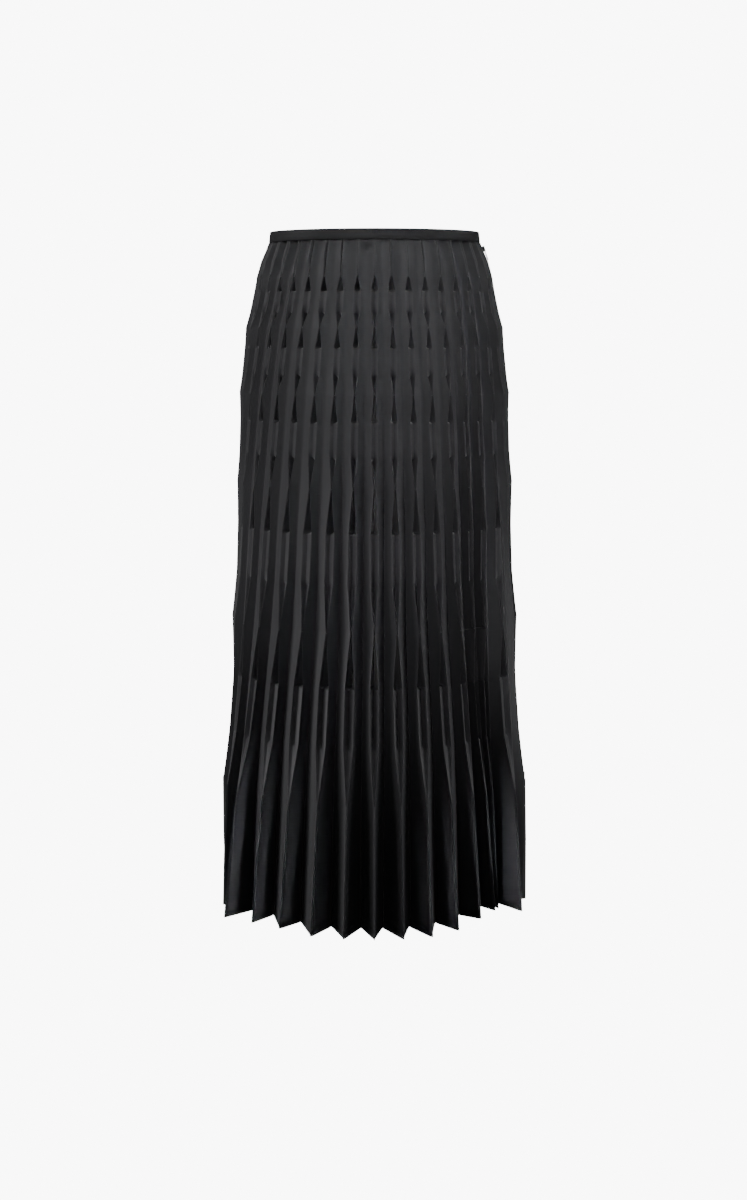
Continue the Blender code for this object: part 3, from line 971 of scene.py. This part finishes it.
    def rounded(self, corners: np.ndarray, drop: np.ndarray) -> np.ndarray:
        """Return the pleats with every fold rounded as a parabola.

        A rounding reaches the same distance along the cloth on both sides of its fold:
        far for a valley and a little for an edge.

        Args:
            corners: the fold points of every row.
            drop: the rows' drops.

        Returns:
            The points, by row, pleat and column.
        """
        start, end = corners[:, :-1], corners[:, 1:]
        length = np.maximum(np.linalg.norm(end - start, axis=2), 1e-6)
        soft = SOFTNESS.at(drop) + self.crease
        wide = np.minimum(self.hollow.at(drop)[:, None] / length, WIDEST_HOLLOW)
        tight = np.minimum(soft[:, None] / length, WIDEST_EDGE)
        a_side, in_a, in_b, b_side = (slice(k, None, 4) for k in range(4))

        def at(face: slice, share: np.ndarray) -> np.ndarray:
            """Return the points a share of the way across one face of every pleat."""
            return start[:, face] + share[:, face, None] * (end[:, face] - start[:, face])

        valley, end_valley = corners[:, 0:-1:4], corners[:, 4::4]
        edge_a, fold, edge_b = corners[:, 1::4], corners[:, 2::4], corners[:, 3::4]
        a_far, a_out = at(a_side, wide), at(a_side, 1 - tight)
        a_in, a_deep = at(in_a, tight), at(in_a, 1 - tight)
        b_deep, b_in = at(in_b, tight), at(in_b, 1 - tight)
        b_out, b_far = at(b_side, tight), at(b_side, 1 - wide)
        last = np.concatenate((corners[:, :1], b_far[:, :-1]), axis=1)
        following = np.concatenate((a_far[:, 1:], corners[:, -1:]), axis=1)
        columns = [
            bend(last, valley, a_far, 0.5),
            bend(last, valley, a_far, 0.75),
            a_far,
            at(a_side, wide + MARGIN),
            at(a_side, 1 - MARGIN - tight),
            a_out,
            bend(a_out, edge_a, a_in, 0.25),
            bend(a_out, edge_a, a_in, 0.5),
            a_in,
            a_deep,
            bend(a_deep, fold, b_deep, 0.5),
            b_deep,
            b_in,
            bend(b_in, edge_b, b_out, 0.5),
            bend(b_in, edge_b, b_out, 0.75),
            b_out,
            at(b_side, tight + MARGIN),
            at(b_side, 1 - MARGIN - wide),
            b_far,
            bend(b_far, end_valley, following, 0.25),
        ]
        return np.stack(columns, axis=2)

    def pressed(self, drop: np.ndarray) -> np.ndarray:
        """Return the fold values, which place the satin's painted highlight: 1 on pressed edges
        and ridges, and 0 elsewhere.
        """
        sunk = np.interp(drop, DROPS, [1.0 if level.sunk else 0.0 for level in LEVELS])
        value = np.zeros((len(drop), self.form.pleats, COLUMNS))
        for edge in EDGE_COLUMNS:
            value[..., edge] = 1.0
        value[..., MIDDLE_COLUMNS] = (1.0 - sunk)[:, None, None]
        return np.concatenate((value.reshape(len(drop), -1), np.zeros((len(drop), 1))), axis=1)

    def surface(self) -> tuple[np.ndarray, np.ndarray, np.ndarray]:
        """Return the cloth as rows of points, its flat coordinates and its fold values, the mask
        of its painted highlight.

        A row is (x, y, -drop) across all pleats.  Its flat coordinates are the distance
        along the row's cloth and the drop.
        """
        drop = self.row_drops()
        corners, inward = self.fold_points(drop)
        pleats = self.rounded(corners, drop)
        slots = SLOTS.at(drop)[:, None] * np.array(SLOT_DEPTHS)[None, :] * MM
        shape = np.zeros(COLUMNS)
        shape[POCKET_COLUMNS] = POCKET_SHAPE
        deep = (self.pocket_depth(drop)[0][:, None] + slots) * self.off_zip(drop)
        pleats += (deep[:, :, None] * shape)[..., None] * inward[:, :, None, :]
        plan = pleats.reshape(len(drop), -1, 2)
        plan = np.concatenate((plan, corners[:, -1:]), axis=1)
        plan[:, 0] = corners[:, 0]
        plan = self.caught(plan, drop)
        steps = np.linalg.norm(np.diff(plan, axis=1), axis=2)
        across = np.concatenate((np.zeros((len(drop), 1)), np.cumsum(steps, axis=1)), axis=1)
        down = np.broadcast_to(drop[:, None], across.shape)
        points = np.concatenate((plan, -down[..., None]), axis=2)
        points = self.dented(self.bent(points, drop))
        return points, np.stack((across, down), axis=-1), self.pressed(drop)

    def caught(self, plan: np.ndarray, drop: np.ndarray) -> np.ndarray:
        """Return the points with the upper edge pressed flat behind the band.

        Points outside the inner oval come onto it at once above the band's foot, and the
        valleys reach it little by little on the way up: p becomes p + w (p / e - p), where
        e is p's distance from the middle in the oval's radii.

        Args:
            plan: X and Y of the points.
            drop: the rows' drops.

        Returns:
            X and Y of the moved points.
        """
        reach = np.linalg.norm(plan / np.array(self.tuck_oval), axis=2)
        outer = (drop <= self.tuck_foot).astype(float)[:, None]
        inner = self.tuck_ramp.at(drop)[:, None]
        share = np.where(reach > 1, outer, inner)
        return plan + (share * (1 / reach - 1))[..., None] * plan

    def bent(self, points: np.ndarray, drop: np.ndarray) -> np.ndarray:
        """Return the points with the faces bent near the hem.

        The middle of each face moves towards centre front by fin times 4 q (1 - q),
        where q is how far out the point lies between valley and ridge.  The valley at
        the face's foot says which way that is, and right at centre front it fades.

        Args:
            points: the cloth, as rows of points.
            drop: the rows' drops.

        Returns:
            The moved points.
        """
        q = np.array((*FACE_SHARES, 1.0, *FACE_SHARES[:0:-1]))
        q = np.concatenate((np.tile(q, self.form.pleats), [0.0]))
        part = np.arange(COLUMNS) / COLUMNS
        place = self.panel.value + np.arange(self.form.pleats)[:, None] + part
        place = np.concatenate((place.ravel(), [self.panel.value + self.form.pleats]))
        side = np.sin(math.pi * (np.round(place - 0.5) + 0.5) / self.form.pleats)
        side = np.clip(side * self.fade, -1.0, 1.0)
        shift = -side * self.fin * 4 * q * (1 - q)
        radial = points[:, :, :2] / np.linalg.norm(points[:, :, :2], axis=2)[..., None]
        around = np.stack((-radial[..., 1], radial[..., 0]), axis=2)
        points = points.copy()
        points[:, :, :2] += around * (BENDING.at(drop)[:, None] * shift[None, :])[..., None]
        return points

    def dented(self, points: np.ndarray) -> np.ndarray:
        """Return the front's points with the small dent under the band.

        It moves a point back by depth times exp(-d^2), d being the point's distance from
        the dent's middle in its radii.
        """
        if self.panel is Panel.FRONT:
            (x, drop), (wide, high) = self.dent_place, self.dent_reach
            far = ((points[..., 0] - x) / wide) ** 2 + ((points[..., 2] + drop) / high) ** 2
            points[..., 1] += self.dent_depth * np.exp(-far)
        return points

    def build(self, finish: bpy.types.Material) -> bpy.types.Object:
        """Build the panel, store its flat cut as a UV map and log its cloth.

        Args:
            finish: material of the cloth.

        Returns:
            The piece.
        """
        points, flat, folds = self.surface()
        faces = grid_faces(*points.shape[:2])
        piece = make_mesh(self.name, points, faces)
        put_uv(piece, flat)
        # The fold values mark where the satin paints its highlight on the ridges.
        put_value(piece, "fold", folds)
        piece.data.materials.append(finish)
        thicken(piece, self.wall)
        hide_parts(self.node)
        drop = points[:, 0, 2] * -1
        length = float(drop[-1] - drop[0])
        width = flat[:, -1, 0]
        area = float(np.sum(0.5 * (width[1:] + width[:-1]) * np.diff(drop)))
        LOG.info("%s: %.3f m2 of cloth, %.3f m at the hem", self.name, area, width[-1])
        return piece


# ------------------------------------------------------------------ waistband
@dataclass
class Waistband:
    """The flat band, as a rounded section carried round the waist.

    Attributes:
        top: half width and half depth at its upper edge.
        foot: half width and half depth at its lower edge.
        height: in metres.
        wall: thickness.
        edge: how far its upper and lower edges are rounded.
        slit: opening over the zip.
        steps: points round the waist.
        sways: its small waves in and out: height, waves round the waist and start.
        cut: length round the waist and height of the folded strip, laid flat.
    """

    top: tuple[float, float] = (12.86 * CM, 9.35 * CM)
    foot: tuple[float, float] = (13.02 * CM, 9.47 * CM)
    height: float = 13.0 * MM
    wall: float = 2.2 * MM
    edge: float = 0.7 * MM
    slit: float = 0.8 * MM
    steps: int = 240
    sways: tuple[tuple[float, int, float], ...] = ((0.08 * MM, 9, 0.7), (0.04 * MM, 23, 0.0))
    cut: tuple[float, float] = (0.705, 0.0135)

    def section(self) -> np.ndarray:
        """Return the band's section: how far in and how far down each point lies.

        It is a rectangle of wall and height whose corners are rounded by the edge, with a
        face that swells a little between them.
        """
        wall, height, edge = self.wall, self.height, self.edge
        swell = -0.05 * MM
        return np.array(
            [
                (0.0, edge),
                (0.12 * MM, 0.5 * edge),
                (0.45 * MM, 0.12 * MM),
                (edge, 0.0),
                (wall - edge, 0.0),
                (wall - 0.3 * MM, 0.15 * MM),
                (wall, edge),
                (wall, height - edge),
                (wall - 0.3 * MM, height - 0.15 * MM),
                (wall - edge, height),
                (edge, height),
                (0.3 * MM, height - 0.15 * MM),
                (0.0, height - edge),
                (swell, 0.66 * height),
                (swell, 0.33 * height),
            ]
        )

    def build(self, finish: bpy.types.Material) -> bpy.types.Object:
        """Build the band and store its flat cut as a UV map.

        The surface is P(s, t) = oval(t) at height h(s), moved inward by w(s), where s
        runs round the section and t round the waist.

        Args:
            finish: material of the band.

        Returns:
            The piece.
        """
        section = self.section()
        slit = self.slit / 2 / self.top[1]
        turn = np.linspace(math.pi / 2 + slit, 2.5 * math.pi - slit, self.steps + 1)
        inset, drop = section.T
        share = drop / self.height
        width = self.top[0] + (self.foot[0] - self.top[0]) * share
        depth = self.top[1] + (self.foot[1] - self.top[1]) * share
        sway = sum(size * np.sin(waves * turn + start) for size, waves, start in self.sways)
        normal = np.stack((np.sin(turn) / self.top[0], -np.cos(turn) / self.top[1]), axis=1)
        normal /= np.linalg.norm(normal, axis=1)[:, None]
        oval = (np.outer(np.sin(turn), width), -np.outer(np.cos(turn), depth))
        plan = np.stack(oval, axis=2)
        plan = plan + (sway[:, None] - inset[None, :])[..., None] * normal[:, None, :]
        height = np.broadcast_to(-drop[None, :, None], (*plan.shape[:2], 1))
        points = np.concatenate((plan, height), axis=2)
        faces = tube_faces(len(turn), len(section), turned=True)
        piece = make_mesh("waistband_cloth", points, faces)
        run = np.linspace(0.0, self.cut[0], len(turn))
        girth = np.concatenate(([0.0], np.cumsum(np.hypot(*np.diff(section, axis=0).T))))
        put_uv(piece, np.stack(np.meshgrid(run, girth, indexing="ij"), axis=2))
        piece.data.materials.append(finish)
        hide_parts("waistband")
        return piece


# ------------------------------------------------------------------ concealed zip
@dataclass(frozen=True)
class SideSeam:
    """The wearer's left side seam, which the zip lies behind.

    Attributes:
        form: the rings of fold lines.
        under_band: where the zip's face stands behind the band.
        behind: how far in the tapes' face lies from the cloth's.
        jog: drops between which the zip's face moves from the one to the other.
    """

    form: SkirtForm = field(default_factory=SkirtForm)
    under_band: float = 125.2 * MM
    behind: float = 1.6 * MM
    jog: tuple[float, float] = (13.0 * MM, 14.5 * MM)

    def line(self, drop: np.ndarray) -> tuple[np.ndarray, np.ndarray]:
        """Return X and Y of the tapes' face at drops below the top edge, in metres."""
        x, y = self.form.rings(Panel.FRONT)[:, -1].T
        at_x = np.interp(drop, DROPS, x - self.behind)
        blend = np.interp(drop, self.jog, (0.0, 1.0))
        face = self.under_band + blend * (at_x - self.under_band)
        return face, np.interp(drop, DROPS, y + self.form.seam_gap / 2)


@dataclass
class ZipTape:
    """One woven tape of the concealed zip.

    Attributes:
        name: the piece's name.
        node: the CAD node it stands for.
        side: -1 for the front tape and 1 for the back one.
        seam: the seam it lies behind.
        width: from the seam to the tape's free edge.
        clear: from the seam to the tape's near edge.
        turned: how much of the free edge is turned in.
        reach: where it starts and stops below the top edge.
        wall: thickness.
        wave: how far the free edge stands in and out.
        wave_rate: turn of that wave, in radians a metre.
        wave_start: where the two tapes' waves start.
    """

    name: str
    node: str
    side: int
    seam: SideSeam = field(default_factory=SideSeam)
    width: float = 9.0 * MM
    clear: float = 0.15 * MM
    turned: float = 1.0 * MM
    reach: tuple[float, float] = (9.0 * MM, 195.0 * MM)
    wall: float = 0.6 * MM
    wave: float = 0.12 * MM
    wave_rate: float = 170.0
    wave_start: float = 0.9

    def push(self, share: np.ndarray | float, drop: np.ndarray) -> np.ndarray:
        """Return how far in the tape waves: wave times share times (1 + sine of drop).

        Args:
            share: how far out on the tape, from 0 at the seam to 1 at the free edge.
            drop: the drops.

        Returns:
            The push inward in metres.
        """
        sine = np.sin(drop * self.wave_rate + self.wave_start * self.side)
        return self.wave * share * (1 + sine)

    def points(self, across: np.ndarray, drop: np.ndarray) -> np.ndarray:
        """Return points of the tape: (face(v) - w(u, v), seam(v) + side u, -v).

        The push w is a slow wave that grows towards the free edge, where the turned part
        of the cut runs inward.

        Args:
            across: distances from the seam along the cloth of the tape.
            drop: the rows' drops.

        Returns:
            The points, one row a drop.
        """
        face, middle = self.seam.line(drop)
        u, v = np.meshgrid(across, drop)
        turned = np.maximum(u - self.width, 0.0)
        u = u - turned
        push = self.push(u / self.width, v) + turned
        y = middle[:, None] + self.side * (self.clear + u * (1 - self.clear / self.width))
        return np.stack((face[:, None] - push, y, -v), axis=2)

    def build(self, finish: bpy.types.Material) -> bpy.types.Object:
        """Build the tape and store its flat cut as a UV map.

        Args:
            finish: material of the tape.

        Returns:
            The piece.
        """
        across = np.append(np.linspace(0.0, self.width, 13), self.width + self.turned)
        drop = np.unique(np.append(np.linspace(*self.reach, 94), self.seam.jog))
        faces = grid_faces(len(drop), len(across))
        if self.side > 0:
            faces = faces[:, ::-1]
        piece = make_mesh(self.name, self.points(across, drop), faces)
        put_uv(piece, np.stack(np.meshgrid(across, drop), axis=2))
        piece.data.materials.append(finish)
        thicken(piece, self.wall)
        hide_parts(self.node)
        return piece


@dataclass
class ZipCoil:
    """The closed nylon teeth, a flattened tube pinched between every two of them.

    Attributes:
        seam: the seam it lies behind.
        half_width: across the seam.
        height: how thick the teeth are.
        pitch: from one tooth to the next.
        reach: where the teeth start and stop below the top edge.
        set_in: from the tapes' face to the teeth.
        phases: the rings of one tooth, as shares of the pitch.
        sizes: their sizes, as shares of the tooth's.
        sides: points in a ring.
    """

    seam: SideSeam = field(default_factory=SideSeam)
    half_width: float = 1.7 * MM
    height: float = 1.9 * MM
    pitch: float = 1.3 * MM
    reach: tuple[float, float] = (13.0 * MM, 188.7 * MM)
    set_in: float = 0.7 * MM
    phases: tuple[float, ...] = (0.0, 0.12, 0.3, 0.7, 0.88)
    sizes: tuple[float, ...] = (0.72, 0.9, 1.0, 1.0, 0.9)
    sides: int = 12

    def build(self, finish: bpy.types.Material) -> bpy.types.Object:
        """Build the teeth.

        The surface is P(a, v) = (face(v) - set_in - h (1 - k(v) cos a) / 2,
        seam(v) + k(v) b sin a, -v), with k falling from 1 to 0.72 between two teeth.

        Args:
            finish: material of the teeth.

        Returns:
            The piece.
        """
        first, length = self.reach[0], self.reach[1] - self.reach[0]
        count = round(length / self.pitch)
        steps = (np.arange(count)[:, None] + self.phases).ravel()
        drop = first + np.append(steps, count) / count * length
        swell = np.append(np.tile(self.sizes, count), self.sizes[0])[:, None]
        face, middle = self.seam.line(np.maximum(drop, self.seam.jog[1]))
        angle = np.linspace(0.0, 2 * math.pi, self.sides, endpoint=False)[None, :]
        x = (face - self.set_in)[:, None] - self.height * (1 - swell * np.cos(angle)) / 2
        y = middle[:, None] + self.half_width * swell * np.sin(angle)
        points = np.stack((x, y, np.broadcast_to(-drop[:, None], x.shape)), axis=2)
        piece = make_mesh("zip_teeth", points, tube_faces(*x.shape))
        piece.data.materials.append(finish)
        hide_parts("zip_coil")
        return piece


@dataclass
class StitchRow:
    """A row of stitches that holds a zip tape to the cloth.

    Attributes:
        name: the piece's name.
        tape: the tape it is on.
        offset: distance from the seam.
        length: of one stitch.
        pitch: from one stitch to the next.
        thread: half the thread's thickness.
        proud: how far a stitch's middle is off the tape, as a share of thread.
        reach: first and last drop.
        rings: rings of points in a stitch, its two ends included.
        sides: points in a ring.
    """

    name: str
    tape: ZipTape
    offset: float = 6.2 * MM
    length: float = 2.3 * MM
    pitch: float = 3.0 * MM
    thread: float = 0.16 * MM
    proud: float = 0.4
    reach: tuple[float, float] = (17.0 * MM, 190.0 * MM)
    rings: int = 7
    sides: int = 6

    def build(self, finish: bpy.types.Material) -> bpy.types.Object:
        """Build the stitches, each an ellipsoid (r sin a cos b, r sin a sin b, l cos a).

        Args:
            finish: material of the thread.

        Returns:
            The piece.
        """
        tape = self.tape
        drop = np.arange(*self.reach, self.pitch)
        face, middle = tape.seam.line(drop)
        inward = tape.wall + self.proud * self.thread
        inward = inward + tape.push(self.offset / tape.width, drop)
        heart = np.stack((face - inward, middle + tape.side * self.offset, -drop), axis=1)
        lean = np.linspace(0.0, math.pi, self.rings)[:, None]
        turn = np.linspace(0.0, 2 * math.pi, self.sides, endpoint=False)[None, :]
        stitch = np.stack(
            (
                self.thread * np.sin(lean) * np.cos(turn),
                self.thread * np.sin(lean) * np.sin(turn),
                self.length / 2 * np.cos(lean) * np.ones_like(turn),
            ),
            axis=2,
        ).reshape(-1, 3)
        points = heart[:, None, :] + stitch[None, :, :]
        faces = grid_faces(self.rings, self.sides, around=True)
        faces = faces[None] + (np.arange(len(drop)) * len(stitch))[:, None, None]
        piece = make_mesh(self.name, points, faces.reshape(-1, 4))
        piece.data.materials.append(finish)
        return piece


# ------------------------------------------------------------------ studio
@dataclass(frozen=True)
class Softbox:
    """An area light.

    Attributes:
        name: the light's name.
        spot: where it stands, in metres.
        aim: what it looks at.
        size: its two sides in metres.
        power: in watts.
        spread: how widely its light fans out, in degrees.
    """

    name: str
    spot: tuple[float, float, float]
    aim: tuple[float, float, float]
    size: tuple[float, float]
    power: float
    spread: float

    def build(self) -> None:
        """Build the light."""
        data = bpy.data.lights.new(self.name, "AREA")
        data.shape = "RECTANGLE"
        data.size, data.size_y = self.size
        data.energy = self.power
        data.spread = math.radians(self.spread)
        light = bpy.data.objects.new(self.name, data)
        light.location = self.spot
        way = Vector(self.aim) - Vector(self.spot)
        light.rotation_euler = way.to_track_quat("-Z", "Y").to_euler()
        bpy.context.scene.collection.objects.link(light)


@dataclass
class Studio:
    """Camera, lights and the pale surroundings.

    Attributes:
        distance: from the middle of the waist to the camera, in metres.
        eye_drop: how far below the waist the camera is.
        side: how far beside the middle it is.
        tilt: how far it looks down.
        lens: its focal length in millimetres, on a sensor sensor_width wide.
        floor_drop: from the waist to the floor.
        radius: of the dome and the floor.
        card_size: half a side of the dark card below the floor.
        card_gap: from the floor to the card.
        white: how brightly the surroundings show.
        ambient: strength of the even light from all sides.
        boxes: the lights.
    """

    distance: float = 2.10
    eye_drop: float = 0.1127
    side: float = -0.0012
    tilt: float = math.radians(9.37)
    lens: float = 50.0
    sensor_width: float = 36.0
    floor_drop: float = 0.95
    radius: float = 9.0
    card_size: float = 4.0
    card_gap: float = 0.01
    white: float = 9.0
    ambient: float = 0.055
    boxes: tuple[Softbox, ...] = (
        Softbox("key_left", (-2.0, -0.64, 0.85), (0.0, 0.0, -0.30), (0.7, 0.8), 4.3, 60.0),
        Softbox("key_right", (2.0, -0.60, 0.85), (0.0, 0.0, -0.30), (0.7, 0.8), 3.6, 60.0),
        Softbox("front", (0.04, -2.8, 1.0), (0.01, 0.0, -0.22), (0.12, 0.72), 0.38, 8.0),
        Softbox("fill", (-0.1, -2.8, 0.3), (0.0, 0.0, -0.40), (1.2, 0.9), 0.9, 60.0),
        Softbox("rim_left", (-1.6, -0.15, -0.90), (0.0, 0.0, -0.75), (0.4, 0.5), 1.8, 60.0),
        Softbox("rim_right", (1.6, -0.25, -0.90), (0.0, 0.0, -0.75), (0.4, 0.5), 1.4, 60.0),
        Softbox("hem_left", (1.3, -2.2, -0.70), (-0.235, -0.05, -0.80), (0.05, 0.25), 0.14, 5.0),
        Softbox("hem_right", (-1.3, -2.2, -0.70), (0.235, -0.05, -0.84), (0.05, 0.25), 0.18, 5.0),
    )

    def build(self) -> None:
        """Build the camera, the lights, the floor and the backdrop."""
        data = bpy.data.cameras.new("camera")
        data.lens, data.sensor_width = self.lens, self.sensor_width
        data.clip_end = 100.0
        camera = bpy.data.objects.new("camera", data)
        camera.location = (self.side, -self.distance, -self.eye_drop)
        camera.rotation_euler = (math.pi / 2 - self.tilt, 0.0, 0.0)
        bpy.context.scene.collection.objects.link(camera)
        bpy.context.scene.camera = camera
        for box in self.boxes:
            box.build()
        world = bpy.data.worlds.new("studio")
        world.use_nodes = True
        background = world.node_tree.nodes["Background"]
        background.inputs[0].default_value = (1, 1, 1, 1)
        background.inputs[1].default_value = self.ambient
        bpy.context.scene.world = world
        self.surround()

    def surround(self) -> None:
        """Build a wide dome and floor that only the camera sees, and a dark card below.

        The dome is (r cos a cos b, r cos a sin b, low + r sin a), a from 0 to a quarter.
        """
        rows, around = 24, 64
        lean = np.linspace(0.0, math.pi / 2, rows)[:, None]
        turn = np.linspace(0.0, 2 * math.pi, around, endpoint=False)[None, :]
        low = -self.floor_drop
        dome = np.stack(
            (
                self.radius * np.cos(lean) * np.cos(turn),
                self.radius * np.cos(lean) * np.sin(turn),
                low + self.radius * np.sin(lean) * np.ones_like(turn),
            ),
            axis=2,
        )
        square = np.array([(-1, -1, 0), (1, -1, 0), (1, 1, 0), (-1, 1, 0)], float)
        quad = np.array([[0, 1, 2, 3]])
        floor = square * self.radius + (0, 0, low)
        card = square * self.card_size + (0, 0, low - self.card_gap)
        self.stage_piece("backdrop", dome, grid_faces(rows, around, around=True), self.white)
        self.stage_piece("floor", floor, quad, self.white)
        shade = self.stage_piece("floor_card", card, quad, 0.0)
        shade.visible_camera = False
        shade.visible_diffuse = shade.visible_glossy = True

    def stage_piece(
        self, name: str, points: np.ndarray, faces: np.ndarray, glow: float
    ) -> bpy.types.Object:
        """Build one plain surface of the studio, seen by the camera alone.

        Args:
            name: the surface's name.
            points: its points.
            faces: its faces.
            glow: how brightly it shows.

        Returns:
            The surface.
        """
        mesh = bpy.data.meshes.new(name)
        mesh.from_pydata(points.reshape(-1, 3).tolist(), [], faces.tolist())
        piece = bpy.data.objects.new(name, mesh)
        bpy.context.scene.collection.objects.link(piece)
        tree = Tree(f"pale_{name}")
        tree.set(
            Base_Color=(0.0, 0.0, 0.0, 1.0),
            Specular_IOR_Level=0.0,
            Emission_Color=(1.0, 1.0, 1.0, 1.0),
            Emission_Strength=glow,
        )
        mesh.materials.append(tree.material)
        piece.visible_diffuse = piece.visible_glossy = piece.visible_shadow = False
        return piece


# ------------------------------------------------------------------ all together
ENAMEL = HardFinish("black_enamel", (0.012, 0.012, 0.013), (0.05, 0.05, 0.05), 0.32, 0.4)
STEEL = HardFinish("dark_steel", (0.07, 0.07, 0.075), (0.16, 0.16, 0.165), 0.55, 1.0)
NYLON = HardFinish("black_nylon", (0.014, 0.014, 0.015), (0.03, 0.03, 0.03), 0.42)
THREAD = HardFinish("black_thread", (0.018, 0.018, 0.02), (0.03, 0.03, 0.032), 0.7)
BAND_SATIN = WovenFinish(
    "band_satin", (0.012, 0.0122, 0.013), (0.022, 0.0225, 0.024), 0.6, 0.5 * MM, 0.05 * MM
)
TAPE_WEAVE = WovenFinish(
    "zip_tape_weave", (0.008, 0.008, 0.009), (0.022, 0.022, 0.024), 0.8, 0.6 * MM, 0.15 * MM
)
NODE_FINISHES = {
    ENAMEL: ("zip_slider", "zip_pull", "zip_bottom_stop"),
    STEEL: ("waist_hook", "waist_eye"),
}


def report(piece: bpy.types.Object) -> None:
    """Log a finished piece's name and how finely it is made."""
    mesh = piece.data
    LOG.info("%s: %d points, %d faces", piece.name, len(mesh.vertices), len(mesh.polygons))


def dress_nodes() -> None:
    """Give the CAD nodes that stay in view their finishes."""
    for finish, nodes in NODE_FINISHES.items():
        material = finish.make()
        for node in nodes:
            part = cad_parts[node]
            part.data.materials.clear()
            part.data.materials.append(material)
            report(part)


def main() -> None:
    """Build the scene in order and report each piece."""
    Studio().build()
    satin, band = SatinFinish().make(), BAND_SATIN.make()
    report(PleatedPanel("front_panel_cloth", "front_panel", Panel.FRONT).build(satin))
    report(PleatedPanel("back_panel_cloth", "back_panel", Panel.BACK).build(satin))
    report(Waistband().build(band))
    weave, nylon, thread = TAPE_WEAVE.make(), NYLON.make(), THREAD.make()
    for side, word in ((-1, "front"), (1, "back")):
        tape = ZipTape(f"zip_tape_{word}_cloth", f"zip_tape_{word}", side)
        report(tape.build(weave))
        report(StitchRow(f"zip_stitches_{word}", tape).build(thread))
    report(ZipCoil().build(nylon))
    dress_nodes()


if __name__ == "__main__":
    main()
